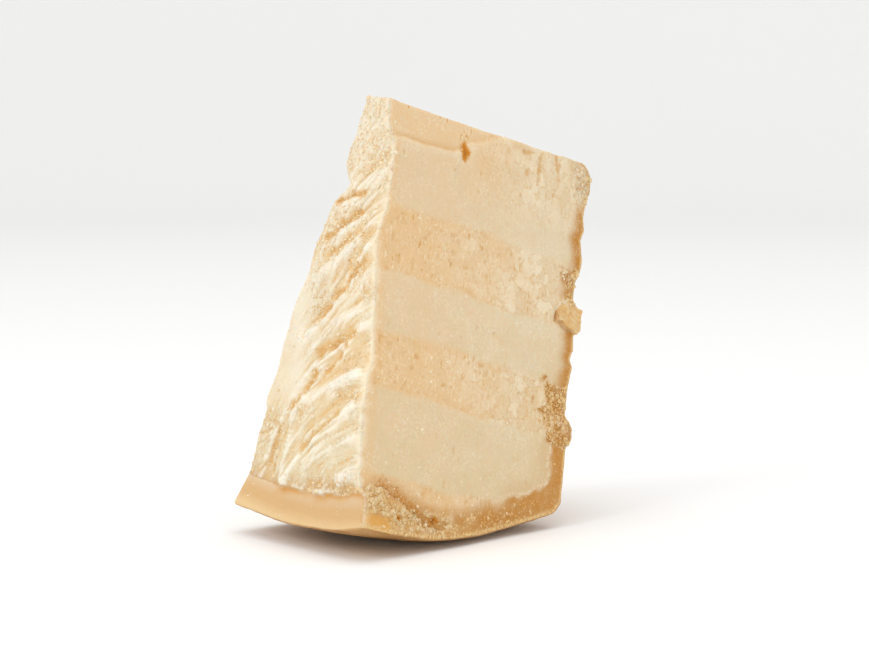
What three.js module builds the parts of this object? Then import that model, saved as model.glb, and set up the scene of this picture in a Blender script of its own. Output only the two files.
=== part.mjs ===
// Hard cheese chunk, in millimetres, +Z up.
//
// The chunk comes out of a large round wheel of aged cheese. It keeps a narrow sector of the
// wheel, from near the wheel's axis out to the rind, and about half of the wheel's height.
// One side face is cut smooth. The two other inner faces are broken, as hard cheese is opened
// with a short wedge knife. Two faces are rind: the wheel's round side, which the chunk stands
// on, and the wheel's flat top.
//
// A point is first worked out in the wheel's own directions:
//   along  parallel to the wheel's axis, from the broken face to the wheel's flat rind
//   depth  away from the smooth cut face, through the sector
//   reach  outwards from the wheel's axis
// Then the block is leaned as it comes to rest, and the small flat spot that it rests on is
// pressed into its round heel. The origin is the middle of that spot, on the bench.

import * as THREE from 'three';

// ---- driving dimensions -------------------------------------------------------------------

const WHEEL_RADIUS = 210.6;
const TIP_REACH = 38.9;            // the point of the sector is cut off here
const KEPT_HEIGHT = 112.0;         // from the broken face to the flat rind, at the tip
const RIND_TAPER = 0.0483;         // how fast that height shrinks towards the heel
const TIP_THICKNESS = 16.2;        // through the sector at the tip
const SECTOR_SLOPE = 0.4216;       // how fast the sector widens, about 23 degrees
const RIM_RADIUS = 6.5;            // the wheel's round rim, where side and top meet
const RIND_THICKNESS = 14.2;       // the drier band under the rind that splits cleanly

const HEEL_SLOPE = 0.36;           // the wheel's side bulges: it turns in by this slope ...
const HEEL_BEND = 46.0;            // ... from about this place along the axis ...
const HEEL_BEND_SOFTNESS = 14.0;   // ... over a bend this long

const LEAN_BACK = 12.0;            // degrees, the smooth face's lean away from upright
const LEAN_SIDE = 15.0;            // degrees, the lean towards the flat rind
const REST_SPOT = { along: 54.0, depth: 42.5 };
const REST_FLAT = 1.2;             // how far the heel is pressed flat there

const EDGE_RADII = { broken: 1.6, rind: 1.6, cut: 1.2, back: 2.2, tip: 1.2, heel: 0.9 };
const RELIEF_FADE = 15.0;          // a face's relief dies out this far inside the block
const OUTLINE_FADE = 30.0;         // and the crags of an edge this far from it

// Cells of the surface lattice; they give 4 (AD + DR + AR) = 11,376 triangles.
const CELLS = { along: 30, depth: 18, reach: 48 };

// ---- crags: the uneven edges, as [reach, place] -------------------------------------------

// Where the broken face meets the smooth face, along the axis.
const BROKEN_EDGE = [
  [38, 0.3], [50, 1.2], [55, 3.4], [68, 3.2], [84, 2.2], [90, -1.0], [100, -2.3], [130, -1.8],
  [146, -0.4], [154, -3.6], [165, -4.4], [182, -4.2], [191, -3.4],
  [195.4, -2.8], [197, -0.6], [212, -0.4],
];

// Where the broken face meets the back, in depth. The tip is a knob with a notch under it.
const BACK_EDGE = [
  [36, 16.6], [45, 19.8], [50, 21.0], [56, 24.6], [62, 26.2], [66, 23.8], [70, 20.6],
  [73, 23.4], [76, 28.6], [84, 34.2], [95, 41.0], [115, 50.0], [140, 59.5], [152, 65.6],
  [158, 65.2], [170, 68.8], [183, 72.2], [194, 79.6], [212, 88.8],
];

// Where the smooth face meets the flat rind, along the axis. Flakes stand out between chips.
const RIND_EDGE = [
  [38, 113.0], [44, 115.0], [50, 115.0], [57, 113.0], [62, 112.2], [68, 113.0], [73, 110.8],
  [81, 112.0], [86, 111.4], [91, 109.0], [99, 108.0], [103, 112.2], [110, 111.2], [115, 108.6],
  [120, 108.8], [125, 107.0], [128, 108.8], [136, 107.0], [149, 106.0], [153, 110.2],
  [158, 110.0], [162, 106.6], [184, 105.2], [212, 104.9],
];

// ---- relief lines, with paths in the face's own two directions -----------------------------

// On the broken face, as [depth, reach].
const BREAK_VALLEYS = [
  { path: [[26, 77], [14, 75]], width: 1.8, height: -1.5 },
  { path: [[31, 91], [15, 83]], width: 2.4, height: -1.9 },
  { path: [[30, 99], [19, 94]], width: 2.0, height: -1.3 },
  { path: [[33, 124], [21, 113], [7, 105]], width: 2.9, height: -2.3 },
  { path: [[32, 138], [12, 133]], width: 2.6, height: -1.7 },
  { path: [[29, 148], [20, 141]], width: 1.9, height: -1.5 },
  { path: [[47, 158], [38, 151], [34, 146]], width: 1.8, height: -1.7 },
  { path: [[38, 175], [15, 165]], width: 2.5, height: -1.8 },
  { path: [[62, 179], [54, 163]], width: 2.2, height: -1.9 },
  { path: [[57, 182], [50, 187]], width: 1.8, height: -1.3 },
  { path: [[32, 191], [5, 195]], width: 2.6, height: -1.4 },
];
const BREAK_RIDGES = [
  { path: [[36, 108], [12, 97]], width: 3.2, height: 1.3 },
  { path: [[44, 131], [8, 125]], width: 4.2, height: 1.3 },
  { path: [[38, 157], [6, 150]], width: 3.2, height: 1.3 },
  { path: [[48, 187], [26, 178], [6, 164]], width: 4.6, height: 2.0 },
  { path: [[49, 182], [45, 162]], width: 2.6, height: 1.4 },
  { path: [[22, 90], [6, 84]], width: 2.6, height: 1.0 },
];
// The break's fibres leave the front edge at a slope and steepen with the depth cubed, and
// change from the one pair of values to the other between two reaches.
const FIBRE_BY_TIP = { slope: 0.70, bend: 0.00036 };
const FIBRE_BY_HEEL = { slope: 0.16, bend: 0.00016 };
const FIBRE_CHANGE = { from: 105, to: 150 };

// On the smooth face, as [along, reach]: a crack by the tip, gaps and lumps by the rind.
const CUT_LINES = [
  { path: [[41, 44], [41.5, 53]], width: 1.7, height: -2.4 },
  { path: [[13, 193], [24, 197.5], [30, 201], [39, 203]], width: 1.7, height: -2.0 },
  { path: [[15, 200], [20, 204]], width: 1.7, height: -1.5 },
  { path: [[97, 107], [100, 110.3], [107, 114.5]], width: 1.5, height: -1.8 },
  { path: [[95, 142], [98, 148]], width: 2.0, height: -1.3 },
  { path: [[20, 194], [27, 203]], width: 3.0, height: 0.9 },
  { path: [[103, 103], [106, 109]], width: 4.0, height: 1.3 },
  { path: [[97, 150], [93, 144]], width: 3.0, height: 0.8 },
  { path: [[105, 153], [107, 158]], width: 3.0, height: 1.2 },
  { path: [[45, 199], [55, 199]], width: 3.0, height: 0.6 },
];

// The knife tore two bands across the smooth face, each from one reach to another.
const TORN_BANDS = [{ from: 82, to: 109 }, { from: 133, to: 156 }, { from: 189, to: 215 }];
const TORN_DEPTH = 0.35;
const BAND_SLOPE = 0.045;          // they run slightly outwards along the axis
const BAND_EDGE = 3.0;
const SCOOP = { along: 40, reach: 53, depth: 1.5, edge: 4 };  // a shallow facet by the tip

// ---- small helpers ------------------------------------------------------------------------

const clamp = (value, low, high) => Math.min(high, Math.max(low, value));
const radians = THREE.MathUtils.degToRad;
const smoothstep = (low, high, value) => THREE.MathUtils.smoothstep(value, low, high);

// 1 on a face, falling to 0 a span inside it.
const fade = (distance, span) => clamp(1 - distance / span, 0, 1) ** 2;

// The value of an outline of [x, y] points at x, straight between its points.
function outline(points, x) {
  const last = points.length - 1;
  if (x <= points[0][0]) return points[0][1];
  if (x >= points[last][0]) return points[last][1];
  const next = points.findIndex(([px]) => px > x);
  const [[x0, y0], [x1, y1]] = [points[next - 1], points[next]];
  return y0 + ((y1 - y0) * (x - x0)) / (x1 - x0);
}

// A fixed number from -1 to 1 for each whole-number place.
function hash(i, j, seed) {
  let h = Math.imul(i, 374761393) + Math.imul(j, 668265263) + Math.imul(seed, 1274126177);
  h = Math.imul(h ^ (h >>> 13), 1103515245);
  h = Math.imul(h ^ (h >>> 16), 668265263);
  return ((h ^ (h >>> 15)) >>> 0) / 2147483647.5 - 1;
}

// Smooth unevenness from -1 to 1 with a wavelength of about 2.
function noise(x, y, seed) {
  const [i, j] = [Math.floor(x), Math.floor(y)];
  const ease = (f) => f * f * f * (f * (6 * f - 15) + 10);
  const [u, v] = [ease(x - i), ease(y - j)];
  const near = hash(i, j, seed) * (1 - u) + hash(i + 1, j, seed) * u;
  const far = hash(i, j + 1, seed) * (1 - u) + hash(i + 1, j + 1, seed) * u;
  return near * (1 - v) + far * v;
}

// The distance from (u, v) to a path of points.
function distanceToPath(path, u, v) {
  let best = Infinity;
  for (let k = 1; k < path.length; k++) {
    const [[u0, v0], [u1, v1]] = [path[k - 1], path[k]];
    const [du, dv] = [u1 - u0, v1 - v0];
    const part = clamp(((u - u0) * du + (v - v0) * dv) / (du * du + dv * dv), 0, 1);
    best = Math.min(best, Math.hypot(u - u0 - part * du, v - v0 - part * dv));
  }
  return best;
}

// The height of all relief lines together at (u, v): a round ridge or valley on each path.
function lineRelief(lines, u, v) {
  return lines.reduce((sum, { path, width, height }) =>
    sum + height * Math.exp(-((distanceToPath(path, u, v) / width) ** 2)), 0);
}

// ---- the six faces before relief ----------------------------------------------------------

// The back face is a radial plane of the wheel, with the crags of its broken edge.
function backDepth(along, reach) {
  const plain = TIP_THICKNESS + SECTOR_SLOPE * (reach - TIP_REACH);
  return plain + (outline(BACK_EDGE, reach) - plain) * fade(along, OUTLINE_FADE);
}

// The wheel's flat rind, with the chips and flakes of its front edge.
function rindAlong(depth, reach) {
  const plain = KEPT_HEIGHT - RIND_TAPER * (reach - TIP_REACH);
  return plain + (outline(RIND_EDGE, reach) - plain) * fade(depth, OUTLINE_FADE);
}

// The wheel's round side: a barrel whose radius shrinks past the bend.
function heelReach(along, depth) {
  const past = along - HEEL_BEND;
  const radius = WHEEL_RADIUS - (HEEL_SLOPE / 2) * (past + Math.hypot(past, HEEL_BEND_SOFTNESS));
  return Math.sqrt(radius * radius - depth * depth);
}

// The cut-off tip rises a little towards the back of the broken face.
const TIP_RISE = 0.27;
const TIP_RISE_SPAN = 22;
function tipReach(along, depth) {
  return TIP_REACH - TIP_RISE * depth * fade(along, TIP_RISE_SPAN);
}

// ---- relief: how far each face stands out at a point ----------------------------------------

// Which fibre a place of the broken face is on: its reach at the front edge.
function fibreLie(depth, reach) {
  const fall = ({ slope, bend }) => slope * depth + bend * depth ** 3;
  const low = smoothstep(FIBRE_CHANGE.from, FIBRE_CHANGE.to, reach);
  return reach - fall(FIBRE_BY_TIP) * (1 - low) - fall(FIBRE_BY_HEEL) * low;
}

function brokenRelief(depth, reach) {
  const share = clamp(depth / backDepth(0, reach), 0, 1);
  const ribs = 1.3 * noise(fibreLie(depth, reach) / 6.5, depth / 36, 11)
    + 0.5 * noise(depth / 9, reach / 7, 12);
  const plateau = smoothstep(36, 46, depth) * smoothstep(90, 100, reach)
    * (1 - smoothstep(150, 162, reach));
  const lines = lineRelief(BREAK_VALLEYS, depth, reach) + lineRelief(BREAK_RIDGES, depth, reach);
  const edge = (0.4 + 0.6 * smoothstep(0, 5, depth)) * (1 - 0.7 * smoothstep(0.8, 1, share));
  const proud = -outline(BROKEN_EDGE, reach) * (1 - smoothstep(0, 1, share));
  // Under the rind the break is a clean split, lower than the ribs.
  const split = WHEEL_RADIUS - RIND_THICKNESS;
  const paste = 1 - smoothstep(split - 1, split + 1, Math.hypot(depth, reach));
  const ribbed = proud + (ribs * (1 - 0.85 * plateau) + lines) * edge;
  return ribbed * paste + 0.4 * (1 - share) * (1 - paste);
}

function cutRelief(along, reach) {
  const level = reach - BAND_SLOPE * along + 1.6 * noise(along / 14, reach / 14, 21);
  const torn = Math.max(...TORN_BANDS.map(({ from, to }) =>
    smoothstep(from - BAND_EDGE, from, level) * (1 - smoothstep(to - BAND_EDGE, to, level))));
  const scoop = (1 - smoothstep(SCOOP.along - 2, SCOOP.along + SCOOP.edge, along))
    * (1 - smoothstep(SCOOP.reach - 2, SCOOP.reach + SCOOP.edge - 2, reach));
  return 0.5 * noise(along / 38, reach / 30, 33) + 0.3 * torn * noise(along / 8, reach / 8, 31)
    - TORN_DEPTH * torn - SCOOP.depth * scoop + lineRelief(CUT_LINES, along, reach);
}

function backRelief(along, reach) {
  return 2.0 * noise(along / 24, reach / 28, 41) + 1.3 * noise(along / 11, reach / 13, 42);
}

function flatRindRelief(depth, reach) {
  return 0.35 * noise(depth / 12, reach / 16, 51);
}

function heelRelief(along, depth) {
  return 0.35 * noise(along / 16, depth / 18, 53);
}

function tipRelief(along, depth) {
  return 0.25 * noise(along / 9, depth / 9, 55);
}

// ---- one point of the chunk ----------------------------------------------------------------

// The place that the shares a, t and s (0 to 1 along, through and outwards) have between the
// six faces. The faces depend on each other a little, so a few passes settle it.
function betweenFaces(a, t, s) {
  let [along, depth, reach] = [a * KEPT_HEIGHT, 0, TIP_REACH + s * (WHEEL_RADIUS - TIP_REACH)];
  for (let pass = 0; pass < 4; pass++) {
    depth = t * backDepth(along, reach);
    along = a * rindAlong(depth, reach);
    const tip = tipReach(along, depth);
    reach = tip + s * (heelReach(along, depth) - tip);
  }
  return { along, depth, reach };
}

// How far a point lies inside each face.
function gapsTo({ along, depth, reach }) {
  return {
    broken: along,
    rind: rindAlong(depth, reach) - along,
    cut: depth,
    back: backDepth(along, reach) - depth,
    tip: reach - tipReach(along, depth),
    heel: heelReach(along, depth) - reach,
  };
}

function chunkPoint(a, t, s) {
  const point = betweenFaces(a, t, s);
  const gaps = gapsTo(point);

  // The wheel's round rim.
  const toRind = clamp(1 - gaps.rind / RIM_RADIUS, 0, 1);
  const toHeel = clamp(1 - gaps.heel / RIM_RADIUS, 0, 1);
  const rimCut = 1 - Math.max(toRind, toHeel) / Math.max(Math.hypot(toRind, toHeel), 1e-9);
  point.along -= RIM_RADIUS * toRind * rimCut;
  point.reach -= RIM_RADIUS * toHeel * rimCut;

  // The small rounding of every other edge: near is 0 a radius inside a face and 1 on it.
  const near = Object.fromEntries(Object.entries(gaps).map(([face, gap]) =>
    [face, clamp(1 - gap / EDGE_RADII[face], 0, 1)]));
  near.rind *= 1 - toHeel;
  near.heel *= 1 - toRind;
  const longest = Math.max(...Object.values(near));
  const edgeCut = 1 - longest / Math.max(Math.hypot(...Object.values(near)), 1e-9);
  const inwards = (face) => EDGE_RADII[face] * near[face] * edgeCut;
  point.along += inwards('broken') - inwards('rind');
  point.depth += inwards('cut') - inwards('back');
  point.reach += inwards('tip') - inwards('heel');

  // The relief of each face moves the skin, and the inside less and less.
  const { along, depth, reach } = point;
  const part = (face) => fade(gaps[face], RELIEF_FADE);
  point.along += flatRindRelief(depth, reach) * part('rind')
    - brokenRelief(depth, reach) * part('broken');
  point.depth += backRelief(along, reach) * part('back') - cutRelief(along, reach) * part('cut');
  point.reach += heelRelief(along, depth) * part('heel') - tipRelief(along, depth) * part('tip');
  return point;
}

// ---- standing it up ------------------------------------------------------------------------

const LEAN = new THREE.Matrix4().makeRotationY(radians(LEAN_SIDE))
  .multiply(new THREE.Matrix4().makeRotationX(radians(-LEAN_BACK)));

function leaned({ along, depth, reach }) {
  return new THREE.Vector3(along, depth, -reach).applyMatrix4(LEAN);
}

const restPoint = leaned({
  ...REST_SPOT,
  reach: heelReach(REST_SPOT.along, REST_SPOT.depth),
});
restPoint.z += REST_FLAT;

// A point as it stands: nothing is lower than the bench.
function standing(point) {
  const place = leaned(point).sub(restPoint);
  place.z = Math.max(place.z, 0);
  return place;
}

// ---- the solid -----------------------------------------------------------------------------

// The skin of a lattice of cells: each lattice point on the outside becomes one vertex, and
// each cell's outside square two triangles.
function skinGeometry({ along: na, depth: nd, reach: nr }, place) {
  const positions = [];
  const numbers = new Map();
  const vertex = (i, j, k) => {
    const key = `${i},${j},${k}`;
    if (!numbers.has(key)) {
      numbers.set(key, numbers.size);
      positions.push(...place(i / na, j / nd, k / nr).toArray());
    }
    return numbers.get(key);
  };
  const triangles = [];
  // One side of the lattice: corner(u, v) gives a corner's number, turned tells its winding.
  const side = (nu, nv, corner, turned) => {
    for (let u = 0; u < nu; u++) {
      for (let v = 0; v < nv; v++) {
        const square = [corner(u, v), corner(u + 1, v), corner(u + 1, v + 1), corner(u, v + 1)];
        if (turned) square.reverse();
        const [p, q, r, s] = square;
        triangles.push(p, q, r, p, r, s);
      }
    }
  };
  side(nd, nr, (u, v) => vertex(0, u, v), false);
  side(nd, nr, (u, v) => vertex(na, u, v), true);
  side(na, nr, (u, v) => vertex(u, 0, v), true);
  side(na, nr, (u, v) => vertex(u, nd, v), false);
  side(na, nd, (u, v) => vertex(u, v, 0), false);
  side(na, nd, (u, v) => vertex(u, v, nr), true);
  const geometry = new THREE.BufferGeometry();
  geometry.setAttribute('position', new THREE.Float32BufferAttribute(positions, 3));
  geometry.setIndex(triangles);
  geometry.computeVertexNormals();
  return geometry;
}

const cheese = new THREE.MeshStandardMaterial({ color: 0xe6cda4, roughness: 0.7, metalness: 0 });

const chunk = new THREE.Mesh(
  skinGeometry(CELLS, (a, t, s) => standing(chunkPoint(a, t, s))),
  cheese,
);
chunk.name = 'cheese_chunk';

const model = new THREE.Group();
model.add(chunk);

export default model;
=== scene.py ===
"""Hard cheese chunk: its fine surface, crumbs and crystals, and a plain studio.

The chunk is worked out in the directions of the wheel that it comes from, in millimetres:
along is parallel to the wheel's axis, from the broken face to the flat rind; depth goes away
from the smooth cut face; reach goes outwards from the axis. The finished points are leaned,
set on the bench and turned into metres.
"""
import math
from typing import NamedTuple

import bpy
import numpy as np
from bpy.props import FloatProperty, FloatVectorProperty, IntProperty, PointerProperty
from bpy.types import Operator, Panel, PropertyGroup
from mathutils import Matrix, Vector


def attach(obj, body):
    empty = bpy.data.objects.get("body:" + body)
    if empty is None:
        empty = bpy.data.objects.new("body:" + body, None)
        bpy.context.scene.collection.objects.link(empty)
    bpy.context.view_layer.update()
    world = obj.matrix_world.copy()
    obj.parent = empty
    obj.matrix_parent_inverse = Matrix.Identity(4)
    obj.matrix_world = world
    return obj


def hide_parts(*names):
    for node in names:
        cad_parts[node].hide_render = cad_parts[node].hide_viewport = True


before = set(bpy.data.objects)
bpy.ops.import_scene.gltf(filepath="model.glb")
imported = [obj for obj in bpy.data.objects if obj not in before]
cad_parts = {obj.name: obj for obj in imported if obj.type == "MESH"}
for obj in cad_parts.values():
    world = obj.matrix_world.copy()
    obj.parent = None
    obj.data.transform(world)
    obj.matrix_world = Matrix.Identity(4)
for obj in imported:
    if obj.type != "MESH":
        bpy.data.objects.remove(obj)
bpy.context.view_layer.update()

bl_info = {
    "name": "Hard Cheese Chunk",
    "version": (1, 0, 0),
    "blender": (4, 5, 0),
    "location": "View3D > Sidebar > Cheese",
    "description": "Models a broken chunk of hard cheese with its crumbs and a studio",
    "category": "Add Mesh",
}

CAD_NODE = "cheese_chunk"
MM = 0.001

# ---- the block, in millimetres --------------------------------------------------------------

TIP_REACH = 38.9
RIND_TAPER = 0.0483
SECTOR_SLOPE = 0.4216
RIM_RADIUS = 6.5
RIND_THICKNESS = 14.2
HEEL_SLOPE = 0.36
HEEL_BEND = 46.0
HEEL_BEND_SOFTNESS = 14.0
TIP_RISE = 0.27
TIP_RISE_SPAN = 22.0
REST_SPOT = (54.0, 42.5)           # along, depth
REST_FLAT = 1.2
EDGE_RADII = {"broken": 1.6, "rind": 1.6, "cut": 1.2, "back": 2.2, "tip": 1.2, "heel": 0.9}
RELIEF_FADE = 15.0
OUTLINE_FADE = 30.0
DETAIL_FADE = 3.0
SETTLING_PASSES = 4
CELLS = (118, 86, 190)             # of the surface lattice: along, depth, reach

# The uneven edges, as (reach, place).
BROKEN_EDGE = (
    (38, 0.3), (50, 1.2), (55, 3.4), (68, 3.2), (84, 2.2), (90, -1.0), (100, -2.3), (130, -1.8),
    (146, -0.4), (154, -3.6), (165, -4.4), (182, -4.2), (191, -3.4), (195.4, -2.8), (197, -0.6),
    (212, -0.4),
)
BACK_EDGE = (
    (36, 16.6), (45, 19.8), (50, 21.0), (56, 24.6), (62, 26.2), (66, 23.8), (70, 20.6),
    (73, 23.4), (76, 28.6), (84, 34.2), (95, 41.0), (115, 50.0), (140, 59.5), (152, 65.6),
    (158, 65.2), (170, 68.8), (183, 72.2), (194, 79.6), (212, 88.8),
)
RIND_EDGE = (
    (36, 107.5), (38.5, 109.5), (41, 112.6), (44, 114.6), (50, 115.0), (57, 113.0), (62, 112.2),
    (68, 113.0), (73, 110.8), (81, 112.0), (86, 111.4), (91, 109.0), (99, 108.0), (103, 112.2),
    (110, 111.2), (115, 108.6), (120, 108.8), (125, 107.0), (128, 108.8), (136, 107.0),
    (149, 106.0), (153, 110.2), (158, 110.0), (162, 106.6), (184, 105.2), (212, 104.9),
)

# Ridges and valleys in millimetres, as (path, width, height). On the broken face a path's points
# are (depth, reach).
BREAK_LINES = (
    (((26, 77), (14, 75)), 1.8, -1.5), (((31, 91), (15, 83)), 2.4, -1.9),
    (((30, 99), (19, 94)), 2.0, -1.3), (((33, 124), (21, 113), (7, 105)), 2.9, -2.3),
    (((32, 138), (12, 133)), 2.6, -1.7), (((29, 148), (20, 141)), 1.9, -1.5),
    (((47, 158), (38, 151), (34, 146)), 1.8, -1.7), (((38, 175), (15, 165)), 2.5, -1.8),
    (((58.8, 162.5), (54.5, 164.6), (55.2, 169.5), (59, 174.5), (60.5, 178.5), (64.5, 182)),
     1.1, -1.4),
    (((57.6, 180.5), (57.2, 183)), 1.3, -1.2), (((66, 167), (60, 166)), 1.1, -0.8),
    (((32, 191), (5, 195)), 2.6, -1.4), (((36, 108), (12, 97)), 3.2, 1.3),
    (((44, 131), (8, 125)), 4.2, 1.3), (((38, 157), (6, 150)), 3.2, 1.3),
    (((48, 187), (26, 178), (6, 164)), 4.6, 2.0), (((49, 182), (45, 162)), 2.6, 1.4),
    (((22, 90), (6, 84)), 2.6, 1.0),
)
# On the smooth face a path's points are (along, reach). The first line is the crack by the tip.
CUT_LINES = (
    (((41.0, 49.2), (41.6, 53.2)), 1.5, -1.3),
    (((95, 142), (98, 148)), 1.2, -0.9), (((92.6, 37.2), (94, 43), (95.8, 49.6)), 1.1, -0.6),
    (((84.5, 43), (83, 55)), 1.1, -0.6), (((77.2, 49.8), (77.4, 51.2)), 0.9, -0.9),
    (((80.3, 41.5), (74.5, 42.6)), 0.9, -0.6), (((88, 38), (89.5, 54)), 2.6, 0.5),
    (((99, 40), (101, 52)), 2.6, 0.4),
    (((97.3, 106), (97.4, 109.8), (99.9, 110.5), (100.5, 111.6), (106.3, 114.4)), 0.8, -0.9),
    (((103, 103), (106, 109)), 4.0, 1.3), (((97, 150), (93, 144)), 3.0, 0.8),
    (((105, 153), (107, 158)), 3.0, 1.2), (((45, 199), (55, 199)), 3.0, 0.6),
)
TORN_BANDS = ((82, 109), (133, 156), (189, 215))   # from one reach to another
TORN_DEPTH = 0.35
# Broken up by the flat rind: from one reach to another, and how wide.
SIDE_PATCHES = ((42, 57, 8), (87, 104, 8), (136, 150, 15), (149, 162, 12))
# The crevice above the broken lumps of the heel, as (along, reach), and the holes in the smooth
# face: their along, reach, half width and half length.
CREVICE = ((2, 190.9), (8.4, 192.2), (15, 195.1), (19.3, 197.6), (25.6, 199.1), (28.4, 201.6),
           (31.2, 203.0), (36.8, 203.6), (46, 204))
CREVICE_DEPTH = 1.1
HOLES = ((41.3, 51.0, 3.0, 5.4), (36.8, 201.7, 2.8, 2.2), (18.2, 203.0, 1.6, 1.4))
HOLE_DEPTH = 1.6
SPOT = {"depth": 2.0, "reach": 196.2, "half": 1.5}      # an orange hollow in the broken face
BAND_SLOPE = 0.045
BAND_EDGE = 3.0
# The facet by the tip: the reach of its lower edge, as (along, reach).
FACET_EDGE = ((0, 53.3), (16, 52.9), (35, 52.6), (41, 49.5), (44, 46.2), (49, 45.0), (60, 40.0),
              (66, 37.0))
FACET_DEPTH = 1.4

# The flake by the flat rind: its lower and upper edge, as (along, reach), how far it stands out
# of the face at its lower edge, its thickness, and its lattice.
FLAKE_LOWER = ((97.7, 105.6), (97.9, 109.3), (100.3, 109.7), (100.9, 110.9), (106.6, 113.6),
               (107.2, 114.5), (109.3, 112.4), (109.2, 109.6), (110.6, 105.4), (111.6, 103.0))
FLAKE_UPPER = ((98.2, 104.6), (99.4, 102.0), (102.6, 100.1), (106.9, 100.7), (111.0, 102.2))
FLAKE_HEIGHT = 1.9
FLAKE_THICKNESS = 1.5
FLAKE_CELLS = (44, 4, 26)

# Small nicks in the smooth face, as (along, reach, length), that run outwards.
NICK_DEPTH = 0.5
NICK_WIDTH = 0.7
NICKS = (
    (75, 92, 3.0), (30, 97, 1.5), (8, 59, 1.0), (76, 51, 1.4), (44, 173, 2.0), (40, 187, 3.0),
    (53, 122, 1.6), (62, 123, 1.4), (33, 128, 1.2), (88, 54, 3.0), (57, 100, 2.2), (22, 139, 1.6),
    (60, 139, 1.8), (12, 146, 1.0), (47, 143, 2.2), (83, 60, 2.4), (36, 60, 1.0), (66, 158, 1.2),
)


# ---- numbers on arrays ----------------------------------------------------------------------

def fade(distance, span):
    """One on a face, falling as a square to nought a span inside it."""
    return np.clip(1 - distance / span, 0, 1) ** 2


def ease(low, high, value):
    """Nought below low, one above high, and between them three squares less two cubes."""
    share = np.clip((value - low) / (high - low), 0, 1)
    return share * share * (3 - 2 * share)


def outline(points, place):
    """The value of an outline of points at a place, straight between its points."""
    places, values = np.array(points, float).T
    return np.interp(place, places, values)


def fixed_random(i, j, seed):
    """A fixed number from -1 to 1 for each whole-number place: its bits multiplied and folded."""
    with np.errstate(over="ignore"):
        h = (i.astype(np.uint32) * np.uint32(374761393) + j.astype(np.uint32) * np.uint32(668265263)
             + np.uint32(seed * 1274126177 & 0xFFFFFFFF))
        h = (h ^ (h >> np.uint32(13))) * np.uint32(1103515245)
        h = (h ^ (h >> np.uint32(16))) * np.uint32(668265263)
    return (h ^ (h >> np.uint32(15))) / 2147483647.5 - 1


def noise(x, y, seed):
    """Smooth unevenness from -1 to 1: fixed random corners of unit squares, eased together."""
    x, y = np.broadcast_arrays(np.asarray(x, float), np.asarray(y, float))
    i, j = np.floor(x).astype(np.int64), np.floor(y).astype(np.int64)
    u, v = (f * f * f * (f * (6 * f - 15) + 10) for f in (x - i, y - j))
    near = fixed_random(i, j, seed) * (1 - u) + fixed_random(i + 1, j, seed) * u
    far = fixed_random(i, j + 1, seed) * (1 - u) + fixed_random(i + 1, j + 1, seed) * u
    return near * (1 - v) + far * v


def layered(x, y, seed, layers=3):
    """Noise of several sizes: each layer is twice as fine and half as strong as the last."""
    return sum(noise(x * 2 ** k, y * 2 ** k, seed + k) / 2 ** k for k in range(layers))


def crests(x, y, seed):
    """Sharp crests with round troughs, from 1 to -1: one less twice the noise's size."""
    return 1 - 2 * np.abs(noise(x, y, seed))


def lumps(x, y, seed):
    """Round lumps packed side by side, 1 at the top of a lump and 0 in the gap between two.

    Each unit square holds one random centre. The height is the distance to the second nearest
    centre less that to the nearest, so it is nought half-way between two centres.
    """
    i, j = np.floor(x).astype(np.int64), np.floor(y).astype(np.int64)
    first = np.full(np.shape(x), 9.0)
    second = first.copy()
    for di in (-1, 0, 1):
        for dj in (-1, 0, 1):
            centre_x = i + di + 0.5 + 0.45 * fixed_random(i + di, j + dj, seed)
            centre_y = j + dj + 0.5 + 0.45 * fixed_random(i + di, j + dj, seed + 1)
            distance = np.hypot(x - centre_x, y - centre_y)
            second = np.minimum(second, np.maximum(first, distance))
            first = np.minimum(first, distance)
    return np.sqrt(np.clip((second - first) * 1.4, 0, 1))


def packed(u, v, large, small, seed):
    """Packed lumps of a large and a small kind, added: each kind is (height, size, size)."""
    return sum(height * lumps(u / wide, v / long, seed + number)
               for number, (height, wide, long) in zip((0, 2), (large, small)))


def wavering(u, v, by, size, seed):
    """Places moved both ways by up to a length, by noise of a size."""
    return (u + by * noise(u / size, v / size, seed),
            v + by * noise(u / size, v / size, seed + 1))


def distance_to_path(path, u, v):
    """The distance from points (u, v) to a path of straight stretches: the least of them."""
    best = np.full(np.shape(u), np.inf)
    for (u0, v0), (u1, v1) in zip(path, path[1:]):
        du, dv = u1 - u0, v1 - v0
        part = np.clip(((u - u0) * du + (v - v0) * dv) / (du * du + dv * dv), 0, 1)
        best = np.minimum(best, np.hypot(u - u0 - part * du, v - v0 - part * dv))
    return best


def ragged(u, v):
    """Unevenness for the course of a valley, in widths of the valley."""
    return 0.45 * noise(u / 3.2, v / 3.2, 131) + 0.25 * noise(u / 1.5, v / 1.5, 132)


def valley_distance(lines, u, v):
    """The distance to the nearest valley, in widths of that valley, with its ragged course."""
    return np.min([distance_to_path(path, u, v) / width for path, width, height in lines
                   if height < 0], axis=0) + ragged(u, v)


def line_relief(lines, u, v):
    """The sum of ridges and valleys: each line's height, falling with the distance from it.

    A ridge falls as a bell of its width. A valley falls more sharply, with a ragged course.
    """
    uneven = ragged(u, v)
    total = np.zeros(np.shape(u))
    for path, width, height in lines:
        distance = distance_to_path(path, u, v)
        if height > 0:
            total += height * np.exp(-(distance / width) ** 2)
        else:
            total += height * np.exp(-(np.maximum(distance / width + uneven, 0)) ** 1.4)
    return total


# ---- the six faces before relief ------------------------------------------------------------

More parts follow.
